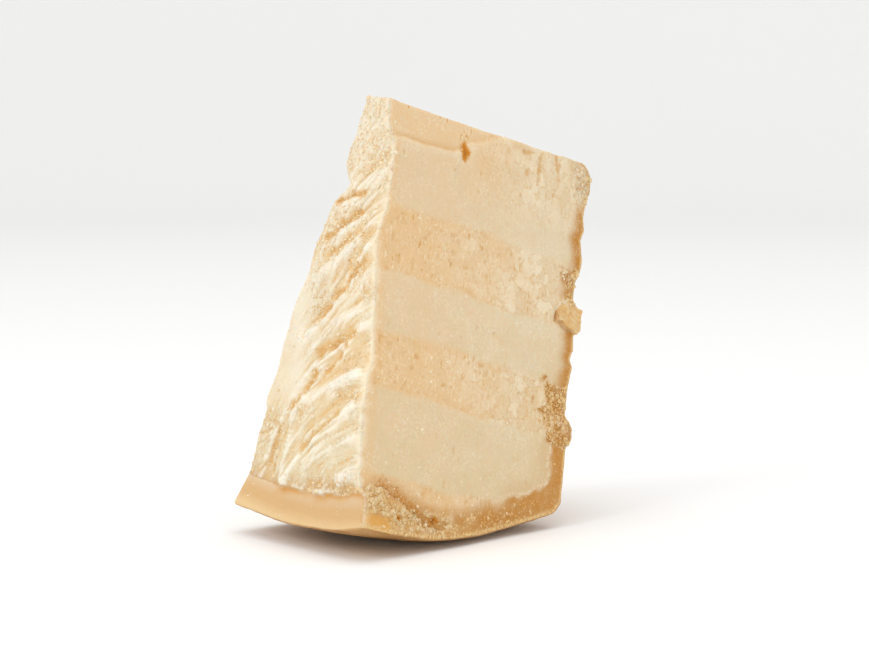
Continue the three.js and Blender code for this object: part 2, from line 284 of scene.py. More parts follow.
class Block:
    """The wedge between its six faces, before it is rounded, roughened and stood up."""

    def __init__(self, size):
        self.wheel = size.wheel_radius / MM
        self.height = size.kept_height / MM
        self.tip_thickness = size.tip_thickness / MM

    def back(self, along, reach):
        """A radial plane of the wheel, moved to the broken edge's crags near that edge."""
        plain = self.tip_thickness + SECTOR_SLOPE * (reach - TIP_REACH)
        return plain + (outline(BACK_EDGE, reach) - plain) * fade(along, OUTLINE_FADE)

    def rind(self, depth, reach):
        """The wheel's flat side, moved to its front edge's chips and flakes near that edge."""
        plain = self.height - RIND_TAPER * (reach - TIP_REACH)
        return plain + (outline(RIND_EDGE, reach) - plain) * fade(depth, OUTLINE_FADE)

    def heel(self, along, depth):
        """A barrel: a circle in depth and reach, whose radius follows a hyperbola's bend."""
        past = along - HEEL_BEND
        radius = self.wheel - HEEL_SLOPE / 2 * (past + np.hypot(past, HEEL_BEND_SOFTNESS))
        return np.sqrt(radius * radius - depth * depth)

    def above_split(self, depth, reach):
        """How far a place lies inwards of the band under the wheel's round side."""
        return self.wheel - RIND_THICKNESS - np.hypot(depth, reach)

    def tip(self, along, depth):
        """A plane across the tip that rises a little at the back of the broken face."""
        return TIP_REACH - TIP_RISE * depth * fade(along, TIP_RISE_SPAN)

    def between(self, a, t, s):
        """The place with the shares a, t and s between opposite faces, settled in four passes."""
        along = a * self.height
        reach = TIP_REACH + s * (self.wheel - TIP_REACH)
        for _ in range(SETTLING_PASSES):
            depth = t * self.back(along, reach)
            along = a * self.rind(depth, reach)
            tip = self.tip(along, depth)
            reach = tip + s * (self.heel(along, depth) - tip)
        return along, depth, reach

    def gaps(self, along, depth, reach):
        """How far a place lies inside each face."""
        return {
            "broken": along, "rind": self.rind(depth, reach) - along,
            "cut": depth, "back": self.back(along, reach) - depth,
            "tip": reach - self.tip(along, depth), "heel": self.heel(along, depth) - reach,
        }


# ---- relief: each face's large forms and its fine detail, apart ------------------------------

def fibre_lie(depth, reach):
    """Which fibre of the broken face a place is on: its reach at the front edge.

    A fibre leaves the front edge at a slope and steepens with the depth cubed. Towards the
    tip both are greater than towards the heel.
    """
    by_tip = 0.70 * depth + 0.00036 * depth ** 3
    by_heel = 0.16 * depth + 0.00016 * depth ** 3
    low = ease(105, 150, reach)
    return reach - by_tip * (1 - low) - by_heel * low


def fibre_course(depth, reach):
    """The fibre a place is on, with the broad waves that fine fibres follow."""
    return fibre_lie(depth, reach) + 1.8 * noise(depth / 13, reach / 13, 61)


def broken_forms(block, depth, reach):
    """Ribs along the fibres, valleys, ridges and the edge's crags, down to the split rind."""
    share = np.clip(depth / block.back(0, reach), 0, 1)
    lie = fibre_lie(depth, reach)
    ribs = 1.3 * noise(lie / 6.5, depth / 36, 11) + 0.5 * noise(depth / 9, reach / 7, 12)
    lines = line_relief(BREAK_LINES, depth, reach)
    edge = (0.4 + 0.6 * ease(0, 5, depth)) * (1 - 0.7 * ease(0.8, 1, share))
    proud = -outline(BROKEN_EDGE, reach) * (1 - ease(0, 1, share))
    paste = 1 - on_split(block, depth, reach)
    ribbed = proud + (ribs * (1 - 0.85 * plateau(depth, reach)) + lines) * edge
    return ribbed * paste + 0.4 * (1 - share) * (1 - paste)


def plateau(depth, reach):
    """One on the smooth patch by the back edge of the broken face."""
    return ease(36, 46, depth) * ease(90, 100, reach) * (1 - ease(150, 162, reach))


def on_split(block, depth, reach):
    """One where the rind split cleanly: within its thickness of the wheel's round side."""
    uneven = 0.7 * noise(depth / 2.4, reach / 2.4, 60)
    return ease(-0.6, 0.6, uneven - block.above_split(depth, reach))


def fibres(across, lengthwise, seed):
    """Overlapping fibres: crests in three sizes, each several times longer than wide."""
    bend = 0.5 * noise(across / 2.6, lengthwise / 2.6, seed)
    strength = noise(across / 3, lengthwise / 2, seed + 2)
    return (0.70 * crests(across + bend, lengthwise, seed + 1) * strength
            + 0.48 * crests(1.9 * across + bend, 2.1 * lengthwise, seed + 3)
            + 0.24 * noise(3.4 * across + 2 * bend, 4 * lengthwise, seed + 4))


def grains(u, v, seed):
    """Crumbled paste: packed lumps of two sizes, the lowest gaps at minus a half."""
    u, v = wavering(u, v, 0.8, 2.2, seed)
    return packed(u, v, (0.65, 3.0, 3.0), (0.45, 1.7, 1.7), seed + 2) - 0.55


def crumbly(block, depth, reach):
    """One where the broken face is grainy: the tip, above the rind, and patches between."""
    above_rind = ease(16, 6, block.above_split(depth, reach))
    return np.clip(1 - ease(60, 74, reach) + above_rind * (1 - ease(34, 50, depth))
                   + ease(0.12, 0.4, noise(depth / 12, reach / 9, 65)), 0, 1)


def broken_detail(block, depth, reach):
    """Fibres along the ribs, grains where the paste crumbled, and the rind's smooth split."""
    lie = fibre_course(depth, reach)
    rough = crumbly(block, depth, reach)
    both = (fibres(lie / 2.5, depth / 24, 62) * (1 - 0.6 * rough)
            + grains(depth, reach, 140) * rough * (0.5 + 0.3 * ease(60, 80, reach)))
    smooth = 0.07 * layered(depth / 2.5, reach / 2.5, 68)
    paste = both * (1 - 0.88 * plateau(depth, reach)) + smooth
    split = on_split(block, depth, reach)
    waves = 0.10 * noise(depth / 9, reach / 2.6, 69) + 0.05 * noise(depth / 2, reach / 1.6, 70)
    return (paste * (1 - split) * (0.45 + 0.55 * ease(0, 3, depth)) + waves * split
            + edge_chips(depth, reach) * (1 - split))


def torn(along, reach):
    """One in the torn bands of the smooth face, whose borders wander."""
    level = reach - BAND_SLOPE * along + 1.6 * noise(along / 14, reach / 14, 21)
    return np.max([ease(low - BAND_EDGE, low, level) * (1 - ease(high - BAND_EDGE, high, level))
                   for low, high in TORN_BANDS], axis=0)


def crevice(along, reach):
    """How far below the crevice of the heel a place is, and one over the crevice's length."""
    uneven = noise(along / 3.2, reach / 3.2, 121) + 0.5 * noise(along / 1.4, reach / 1.4, 122)
    return reach - outline(CREVICE, along) + uneven, ease(3, 9, along) * ease(45, 38, along)


def facet(along, reach):
    """One on the facet that the knife left by the tip."""
    uneven = 0.5 * noise(along / 5, reach / 5, 34)
    return ease(1.4, -0.8, reach - outline(FACET_EDGE, along) + uneven)


def edge_chips(inside, place):
    """Small chips out of the edge between the broken and the smooth face, as a depth."""
    return -0.4 * ease(0.1, 0.6, noise(place / 2.8, 0, 181)) * ease(2.6, 0.3, inside)


def cut_forms(along, reach):
    """A slight swell, the lower torn bands, the facet by the tip, and the valleys and ridges."""
    tears = torn(along, reach)
    scoop = facet(along, reach) * (1 - 0.5 * ease(30, 60, along))
    swell = 0.5 * noise(along / 38, reach / 30, 33) + 0.3 * tears * noise(along / 8, reach / 8, 31)
    lines = line_relief(CUT_LINES, along, reach)
    return swell - TORN_DEPTH * tears - FACET_DEPTH * scoop + lines


def crumbled_heel(along, reach, to_heel):
    """One where the smooth face broke up in lumps above the rind, from its left edge."""
    height = 15.5 - 0.20 * np.maximum(along - 14, 0) + 4.5 * noise(along / 7, reach / 7, 71)
    sound_rind = 4 * (1 - ease(7, 15, along)) - 0.8 * noise(along / 4, reach / 4, 78)
    return (ease(height + 2, height - 2, to_heel) * (1 - ease(40, 62, along))
            * ease(1.2, 3.0, along) * ease(2.2, 4.2, to_heel - sound_rind))


def crumbled_side(along, reach, to_rind):
    """One in the broken patches by the flat rind."""
    aside = to_rind + 6 * noise(along / 5, reach / 5, 72) + 2.5 * noise(along / 2, reach / 2, 77)
    reach = reach + 3 * noise(along / 4, reach / 4, 80)
    return np.max([ease(wide + 1.5, wide - 3, aside) * ease(low - 1.5, low + 1.5, reach)
                   * (1 - ease(high - 1.5, high + 1.5, reach)) for low, high, wide in SIDE_PATCHES],
                  axis=0)


def sandy(along, reach, to_heel):
    """One where the smooth face is fine and sandy: above the rind, right of the lumps."""
    height = 17 - 0.13 * np.maximum(along - 20, 0) + 3.5 * noise(along / 12, reach / 8, 79)
    return ease(height, 0.5 * height, to_heel) * (1 - ease(78, 96, along))


def nicks(along, reach):
    """The small nicks, as a depth: a bell across each nick and beyond both of its ends."""
    depth = np.zeros(np.shape(along))
    for x, y, length in NICKS:
        beyond = np.maximum(np.abs(reach - y) - length / 2, 0)
        depth -= NICK_DEPTH * np.exp(-(np.hypot(along - x, beyond) / NICK_WIDTH) ** 2)
    return depth


def torn_detail(along, reach):
    """Streaks, scales and pits where the knife tore the paste."""
    streaks = (0.10 * noise(along / 1.9, reach / 4.5, 73)
               + 0.07 * noise(along / 1.1, reach / 2.2, 74))
    scales = 0.16 * (lumps(along / 3.6, reach / 5.2, 150) - 0.6) * ease(20, 60, along)
    pits = -0.4 * ease(0.62, 0.85, noise(along / 1.7, reach / 2.4, 75))
    return streaks + scales + pits


def heel_clods(along, reach):
    """The heel's packed lumps with gaps in places, and the crevice above them."""
    u, v = wavering(along, reach, 1.6, 5, 151)
    clods = (packed(u, v, (0.7, 3.8, 3.2), (0.3, 1.9, 1.9), 153) - 0.35
             - 0.3 * ease(0.3, 0.6, noise(u / 4, v / 4, 157)))
    below, here = crevice(along, reach)
    return clods - CREVICE_DEPTH * here * ease(-4.5, -0.3, below) * ease(0.4, -0.1, below)


def side_chips(along, reach):
    """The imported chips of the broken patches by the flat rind."""
    u, v = wavering(along, reach, 1.6, 5, 151)
    return (packed(u, v, (0.6, 2.6, 2.6), (0.25, 1.4, 1.4), 158) - 0.4
            - 0.2 * ease(0.2, 0.5, noise(u / 3.4, v / 3.4, 166)))


def holes(along, reach):
    """The holes but the first, which is the crack, as a depth: a bell for each."""
    depth = np.zeros(np.shape(along))
    for x, y, wide, long in HOLES[1:]:
        aside, outwards = (along - x) / (0.7 * wide), (reach - y) / (0.7 * long)
        depth -= HOLE_DEPTH * np.exp(-aside ** 2 - outwards ** 2)
    return depth


def cut_detail(along, reach, to_rind, to_heel):
    """Streaks and pits in the torn bands, nicks, and packed lumps where the face broke up."""
    heel = crumbled_heel(along, reach, to_heel)
    side = crumbled_side(along, reach, to_rind)
    whole = 1 - np.maximum(heel, side)
    by_tip = 0.8 * ease(44, 58, along) * (1 - ease(54, 60, reach))
    tears = np.clip(torn(along, reach) + by_tip, 0, 1)
    plain = 0.04 * layered(along / 5, reach / 7, 76)
    sand = (0.42 * (lumps(along / 2.0, reach / 2.0, 162) - 0.6)
            + 0.35 * noise(along / 3.4, reach / 3.4, 164)) * sandy(along, reach, to_heel)
    return ((plain + nicks(along, reach) + torn_detail(along, reach) * tears + sand) * whole
            + heel_clods(along, reach) * heel + side_chips(along, reach) * side
            + edge_chips(along, reach) + holes(along, reach))


def back_forms(along, reach):
    """Broad hollows of the hidden broken face, in two sizes."""
    return 2.0 * noise(along / 24, reach / 28, 41) + 1.3 * noise(along / 11, reach / 13, 42)


def back_detail(along, reach):
    """Fibres that run up and across, and grains in patches, as on the other broken face."""
    lie = reach + 0.35 * along + 3 * noise(along / 15, reach / 15, 82)
    rough = ease(0.0, 0.35, noise(along / 14, reach / 14, 86))
    smooth = ease(0.1, 0.5, noise(along / 26, reach / 30, 89))
    both = (fibres(lie / 4.4, along / 16, 83) * (1 - rough)
            + 1.1 * grains(along, reach, 170) * rough)
    return both * (1 - 0.85 * smooth) + 0.06 * layered(along / 2.5, reach / 2.5, 90)


def rind_detail(u, v):
    """The dry skin: soft waves, a fine leathery wrinkle and a few scuffs."""
    return (0.12 * layered(u / 7, v / 7, 91) + 0.06 * crests(u / 2.6, v / 2.6, 92)
            - 0.18 * ease(0.45, 0.8, noise(u / 6, v / 10, 93)))


def chunk_points(block, a, t, s):
    """The chunk's skin at lattice shares: its points, their relief, and masks for its finish.

    The block's point is pulled in at the wheel's round rim and at every other edge, along a
    quarter circle. Then each face's relief moves it outwards, faded with its distance inside
    that face. The fine detail is calmer next to the rind.
    """
    along, depth, reach = block.between(a, t, s)
    gaps = block.gaps(along, depth, reach)

    to_rind, to_heel = (np.clip(1 - gaps[face] / RIM_RADIUS, 0, 1) for face in ("rind", "heel"))
    rim_cut = 1 - np.maximum(to_rind, to_heel) / np.maximum(np.hypot(to_rind, to_heel), 1e-9)
    along = along - RIM_RADIUS * to_rind * rim_cut
    reach = reach - RIM_RADIUS * to_heel * rim_cut

    near = {face: np.clip(1 - gap / EDGE_RADII[face], 0, 1) for face, gap in gaps.items()}
    near["rind"] = near["rind"] * (1 - to_heel)
    near["heel"] = near["heel"] * (1 - to_rind)
    longest = np.max(list(near.values()), axis=0)
    edge_cut = 1 - longest / np.maximum(np.sqrt(sum(n * n for n in near.values())), 1e-9)
    inwards = {face: EDGE_RADII[face] * near[face] * edge_cut for face in near}
    along = along + inwards["broken"] - inwards["rind"]
    depth = depth + inwards["cut"] - inwards["back"]
    reach = reach + inwards["tip"] - inwards["heel"]

    part = {face: fade(gap, RELIEF_FADE) for face, gap in gaps.items()}
    skin = {face: fade(gap, DETAIL_FADE) for face, gap in gaps.items()}
    calm = 0.2 + 0.8 * ease(0.3, 2.0, gaps["rind"]) * ease(0.3, 2.0, gaps["heel"])
    detail = {
        "broken": broken_detail(block, depth, reach) * skin["broken"] * calm,
        "cut": cut_detail(along, reach, gaps["rind"], gaps["heel"]) * skin["cut"] * calm,
        "back": back_detail(along, reach) * skin["back"],
        "rind": rind_detail(depth, reach) * skin["rind"],
        "heel": rind_detail(along, depth) * skin["heel"],
        "tip": 0.3 * grains(along, depth, 180) * skin["tip"],
    }
    forms = {
        "broken": broken_forms(block, depth, reach),
        "cut": cut_forms(along, reach),
        "back": back_forms(along, reach),
        "rind": 0.35 * noise(depth / 12, reach / 16, 51),
        "heel": 0.35 * noise(along / 16, depth / 18, 53),
        "tip": 0.25 * noise(along / 9, depth / 9, 55),
    }
    out = {face: forms[face] * part[face] + detail[face] for face in gaps}
    point = np.stack([along + out["rind"] - out["broken"], depth + out["back"] - out["cut"],
                      reach + out["heel"] - out["tip"]], axis=-1)
    return point, sum(out.values()), chunk_masks(block, along, depth, reach, gaps)


def browning(along, reach, to_rind, to_heel, wander):
    """How brown the paste is, nought to one, and the pale line inside its lower right corner.

    The zone is wider along the heel and starts below the tip. In the corner it has a sharp,
    rounded edge with the line on it, and is faint inside that.
    """
    corner = np.hypot(np.maximum(12 - to_rind, 0), np.maximum(15.5 - to_heel, 0))
    edge = corner + 0.9 * noise(along / 3, reach / 3, 102)
    in_corner = ease(64, 80, along) * ease(152, 164, reach)
    side = ease(10.8, 2.6, to_rind + wander) * (0.3 + 0.7 * ease(52, 66, reach))
    side = np.maximum(side, 0.8 * ease(4.5, 1.5, to_rind + 0.6 * wander))
    high = 11.5 + 8 * ease(50, 15, along)
    heel = ease(high + 3, high - 5, to_heel + wander) * (0.6 + 0.4 * ease(30, 58, along))
    soft = np.maximum(side, heel) * (1 - 0.6 * in_corner * ease(5.0, 2.0, edge))
    faint = 0.22 * np.maximum(ease(18, 9, to_rind + wander), ease(24, 12, to_heel + wander))
    sharp = in_corner * np.maximum(ease(2.0, 4.8, edge), faint)
    line = np.exp(-((edge - 2.9) / 0.9) ** 2) * in_corner
    return np.clip(np.maximum(soft, sharp), 0, 1), line


def bright_rim(on, gaps, reach):
    """One along the edge between the broken and the smooth face, a bell on either side of it."""
    on_cut = 1.5 + 0.8 * noise(reach / 3, 0, 104)
    on_broken = 2.4 + 1.2 * noise(reach / 4, 0, 103)
    return np.clip(np.exp(-(gaps["broken"] / on_cut) ** 2) * on["cut"]
                   + np.exp(-(gaps["cut"] / on_broken) ** 2) * on["broken"], 0, 1)


def crumbled_ledge(block, depth, reach):
    """One on the crumbled ledge of the broken face, right above the split rind."""
    above = block.above_split(depth, reach) + 3 * noise(depth / 6, reach / 6, 105)
    return ease(8.5, 0.5, above) * (0.25 + 0.75 * ease(42, 34, depth))


def chunk_masks(block, along, depth, reach, gaps):
    """Where each finish goes, from nought to one, and the wheel place for the patterns.

    Gap is the distance to the nearest valley in its widths, and crevice the distance below the
    crevice in metres.
    """
    on = {face: ease(0.9, 0.1, gap) for face, gap in gaps.items()}
    skin = np.maximum(on["heel"], on["rind"])
    to_rind, to_heel = gaps["rind"], gaps["heel"]
    cut = on["cut"] * (1 - on["broken"])
    split = on_split(block, depth, reach) * on["broken"] * (1 - cut)
    paste = 1 - split
    wander = 1.3 * noise(along / 9 + depth / 11, reach / 9, 101)
    brown, line = browning(along, reach, to_rind, to_heel, wander)
    crust = np.maximum(ease(2.4, 1.0, to_rind), ease(3.0, 1.4, to_heel)) * (1 - skin)
    golden = np.maximum(ease(34, 8, to_rind) * ease(100, 150, reach), 0.8 * ease(34, 12, to_heel))
    heel = crumbled_heel(along, reach, to_heel)
    broken_up = np.maximum(heel, crumbled_side(along, reach, to_rind))
    smooth_patch = plateau(depth, reach)
    grainy = crumbly(block, depth, reach) * on["broken"] * (1 - smooth_patch) * paste
    gap = np.where(on["broken"] > 0.5, valley_distance(BREAK_LINES, depth, reach),
                   np.where(on["cut"] > 0.5, valley_distance(CUT_LINES[1:], along, reach), FAR))
    below, here = crevice(along, reach)
    by_tip = ease(80, 56, reach) * ease(35, 55, along)
    return {
        "wheel": np.stack([along, depth, reach], axis=-1) * MM,
        "fibre": np.stack([fibre_course(depth, reach), depth, along], axis=-1) * MM,
        "cut": cut,
        "back": on["back"],
        "broken": np.maximum(on["broken"], on["back"]) * paste,
        "skin": skin,
        "split": split,
        "across": np.clip(-block.above_split(depth, reach) / RIND_THICKNESS, 0, 1),
        "brown": brown * (1 - skin) * paste,
        "line": line * cut,
        "crust": crust * paste,
        "golden": golden * cut,
        "torn": np.clip((torn(along, reach) + 0.8 * by_tip) * cut, 0, 1),
        "facet": facet(along, reach) * cut,
        "sandy": sandy(along, reach, to_heel) * cut,
        "heel": heel * cut,
        "crumbled": np.clip(np.maximum(broken_up * cut, grainy), 0, 1),
        "strip": ease(7.5, 5.5, to_heel) * ease(17, 11, along + 2 * wander) * cut,
        "beside": np.exp(-((gaps["broken"] - 2.5) / 2.5) ** 2) * cut,
        "rim": bright_rim(on, gaps, reach) * (1 - skin),
        "plateau": smooth_patch * on["broken"],
        "ledge": crumbled_ledge(block, depth, reach) * on["broken"] * paste,
        "gap": np.minimum(gap + FAR * split, FAR),
        "crevice": below * MM,
        "by_crevice": here * cut,
    }


FAR = 4.0               # a distance in widths that is beyond every valley's edge
LIFT_PASSES = 14        # evens relief out over about 3 mm
LIFT_HEIGHT = 0.7       # the height above its surroundings that counts as a full crest


def along_path(path, share):
    """The place at a share of a path's length."""
    places = np.array(path, float)
    length = np.concatenate([[0], np.cumsum(np.hypot(*np.diff(places, axis=0).T))])
    return [np.interp(share * length[-1], length, column) for column in places.T]


def flake_points(a, t, s):
    """The flake's skin at lattice shares: straight between its upper and its lower edge.

    Its front leaves the face at its upper edge, and stands out most at its lower edge.
    """
    upper, lower = along_path(FLAKE_UPPER, a), along_path(FLAKE_LOWER, a)
    along, reach = (u + (v - u) * s for u, v in zip(upper, lower))
    uneven = 0.35 * (lumps(along / 2.2, reach / 2.2, 191) - 0.6) + 0.25 * noise(along, reach, 193)
    front = FLAKE_HEIGHT * s ** 0.8 - 0.25 * (1 - s) + uneven
    sag = 0.25 * noise(a * 5, 0, 194) * s
    depth = t * FLAKE_THICKNESS - cut_forms(along, reach) - front * (1 - 0.3 * t) - sag
    return np.stack([along, depth, reach], axis=-1)


def settled(values, faces, passes):
    """Values on a mesh's points, evened out: each pass takes the mean of the points next to it."""
    ends = np.concatenate([faces[:, [i, (i + 1) % faces.shape[1]]] for i in range(faces.shape[1])])
    ends = np.concatenate([ends, ends[:, ::-1]])
    number = np.bincount(ends[:, 0], minlength=len(values))
    for _ in range(passes):
        values = np.bincount(ends[:, 0], values[ends[:, 1]], len(values)) / number
    return values


def crowded(share, part):
    """Shares moved towards both ends: each less a part of a sine wave over one turn.

    The spacing is less by that part at the ends and more by it in the middle.
    """
    return share - part * np.sin(2 * np.pi * share) / (2 * np.pi)


def lattice_skin(cells):
    """The outside of a box lattice: each outside point's shares, and the outside squares.

    A point is numbered by its rank among the outside points. Each of the six sides is a grid of
    squares whose corners are taken in the order that faces outwards.
    """
    outside = np.zeros([n + 1 for n in cells], bool)
    for axis in range(3):
        np.moveaxis(outside, axis, 0)[[0, -1]] = True
    number = np.cumsum(outside).reshape(outside.shape) - 1
    shares = np.argwhere(outside) / np.array(cells)
    squares = []
    for axis in range(3):
        for end in (0, -1):
            side = np.moveaxis(number, axis, 0)[end]
            square = np.stack([side[:-1, :-1], side[1:, :-1], side[1:, 1:], side[:-1, 1:]], -1)
            turned = (end == 0) == (axis == 1)
            squares.append(square.reshape(-1, 4)[:, ::-1 if turned else 1])
    return shares.T, np.concatenate(squares)


def stand_up(size, block, points):
    """Leans points back and sideways, sets the rest spot on the bench, and gives metres.

    Depth and reach turn about the wheel's axis by the first angle, then all turns about the
    depth axis by the second. Nothing stays lower than the bench.
    """
    back, side = size.lean_back, size.lean_side

    def leaned(p):
        x, y, z = p[..., 0], p[..., 1], -p[..., 2]
        y, z = y * math.cos(back) + z * math.sin(back), z * math.cos(back) - y * math.sin(back)
        x, z = x * math.cos(side) + z * math.sin(side), z * math.cos(side) - x * math.sin(side)
        return np.stack([x, y, z], axis=-1)

    rest = leaned(np.array([*REST_SPOT, block.heel(*REST_SPOT)]))
    placed = leaned(points) - rest - [0, 0, REST_FLAT]
    placed[..., 2] = np.maximum(placed[..., 2], 0)
    return placed * MM


# ---- meshes ---------------------------------------------------------------------------------

def make_piece(name, points, faces, material, masks=None, smooth=True):
    """A mesh object at the origin from points in metres and faces of equal size."""
    mesh = bpy.data.meshes.new(name)
    count, corners = faces.shape
    mesh.vertices.add(len(points))
    mesh.vertices.foreach_set("co", np.ascontiguousarray(points, np.float32).ravel())
    mesh.loops.add(count * corners)
    mesh.loops.foreach_set("vertex_index", np.ascontiguousarray(faces, np.int32).ravel())
    mesh.polygons.add(count)
    mesh.polygons.foreach_set("loop_start", np.arange(0, count * corners, corners, dtype=np.int32))
    mesh.polygons.foreach_set("use_smooth", np.full(count, smooth))
    for key, values in (masks or {}).items():
        kind, field = ("FLOAT_VECTOR", "vector") if values.ndim == 2 else ("FLOAT", "value")
        layer = mesh.attributes.new(key, kind, "POINT")
        layer.data.foreach_set(field, np.ascontiguousarray(values, np.float32).ravel())
    mesh.update(calc_edges=True)
    mesh.validate()
    mesh.materials.append(material)
    piece = bpy.data.objects.new(name, mesh)
    bpy.context.scene.collection.objects.link(piece)
    return piece


def read_points(piece):
    """A piece's points, their outward normals and a reader of its masks."""
    mesh = piece.data
    points = np.empty(len(mesh.vertices) * 3)
    mesh.vertices.foreach_get("co", points)
    normals = np.empty(len(mesh.vertices) * 3)
    mesh.vertex_normals.foreach_get("vector", normals)

    def mask(name):
        values = np.empty(len(mesh.vertices))
        mesh.attributes[name].data.foreach_get("value", values)
        return values

    return points.reshape(-1, 3), normals.reshape(-1, 3), mask


class Grains(NamedTuple):
    """Many grains: their points, faces, a shade for each point and the surface point under it."""
    points: np.ndarray
    faces: np.ndarray
    shade: np.ndarray
    chosen: np.ndarray


def grain_shape():
    """A rough ball of twenty triangles: the corners of three crossed golden rectangles."""
    golden = (1 + math.sqrt(5)) / 2
    corners = np.array([p for a in (-1, 1) for b in (-golden, golden)
                        for p in ((a, b, 0), (0, a, b), (b, 0, a))], float)
    corners /= np.linalg.norm(corners, axis=1)[:, None]
    gaps = np.linalg.norm(corners[:, None] - corners[None], axis=2)
    edge = gaps[gaps > 0.1].min() * 1.01
    faces = []
    for i in range(12):
        for j in range(i + 1, 12):
            for k in range(j + 1, 12):
                if max(gaps[i, j], gaps[j, k], gaps[i, k]) < edge:
                    outward = np.dot(np.cross(corners[j] - corners[i], corners[k] - corners[i]),
                                     corners[i]) > 0
                    faces.append((i, j, k) if outward else (i, k, j))
    return corners, np.array(faces)


def scatter(points, normals, weight, count, sizes, sink, seed, rare=2.2):
    """Grains stuck to a surface, as one set of points and faces.

    Places are drawn with the given weights. Each grain is the grain shape stretched unevenly,
    its corners pushed about, turned at random and sunk into the surface by part of its size.
    The sizes follow a random number to a power: the higher it is, the rarer large grains are.
    """
    random = np.random.default_rng(seed)
    corners, faces = grain_shape()
    chosen = random.choice(len(points), count, p=weight / weight.sum())
    size = sizes[0] * (sizes[1] / sizes[0]) ** (random.random(count) ** rare)
    stretch = random.uniform(0.65, 1.2, (count, 1, 3))
    rough = random.normal(1, 0.13, (count, len(corners), 1))
    turn = np.linalg.qr(random.normal(size=(count, 3, 3)))[0]
    turn *= np.sign(np.linalg.det(turn))[:, None, None]
    shapes = np.einsum("nij,nkj->nki", turn, corners * stretch * rough) * size[:, None, None] / 2
    aside = random.normal(0, 0.25 * MM, (count, 3))
    out = normals[chosen]
    aside -= out * (aside * out).sum(1, keepdims=True)
    centre = points[chosen] + out * (size * (0.5 - sink))[:, None] + aside
    placed = (shapes + centre[:, None]).reshape(-1, 3)
    placed[:, 2] = np.maximum(placed[:, 2], 0)
    numbered = faces[None] + (np.arange(count) * len(corners))[:, None, None]
    return Grains(placed, numbered.reshape(-1, 3), np.repeat(random.random(count), len(corners)),
                  np.repeat(chosen, len(corners)))


# ---- shader maths ---------------------------------------------------------------------------

class Wire:
    """One output of a shader node. Arithmetic on its values adds Math nodes."""

    def __init__(self, shader, socket):
        self.shader = shader
        self.socket = socket

    def math(self, operation, *values, clamped=False):
        settings = {"operation": operation, "use_clamp": clamped}
        return self.shader.add("ShaderNodeMath", settings, dict(enumerate(values)))

    def __add__(self, other):
        return self.math("ADD", self, other)

    def __sub__(self, other):
        return self.math("SUBTRACT", self, other)

    def __rsub__(self, other):
        return self.math("SUBTRACT", other, self)

    def __mul__(self, other):
        return self.math("MULTIPLY", self, other)

    __radd__ = __add__
    __rmul__ = __mul__

    def size(self):
        """The value without its sign."""
        return self.math("ABSOLUTE", self)

    def clamped(self):
        """The value kept between nought and one."""
        return self.math("ADD", self, 0.0, clamped=True)

    def between(self, low, high):
        """Nought at low, one at high and eased between them; high may be less than low."""
        return self.shader.add("ShaderNodeMapRange", {"interpolation_type": "SMOOTHSTEP"},
                               {0: self, 1: low, 2: high})


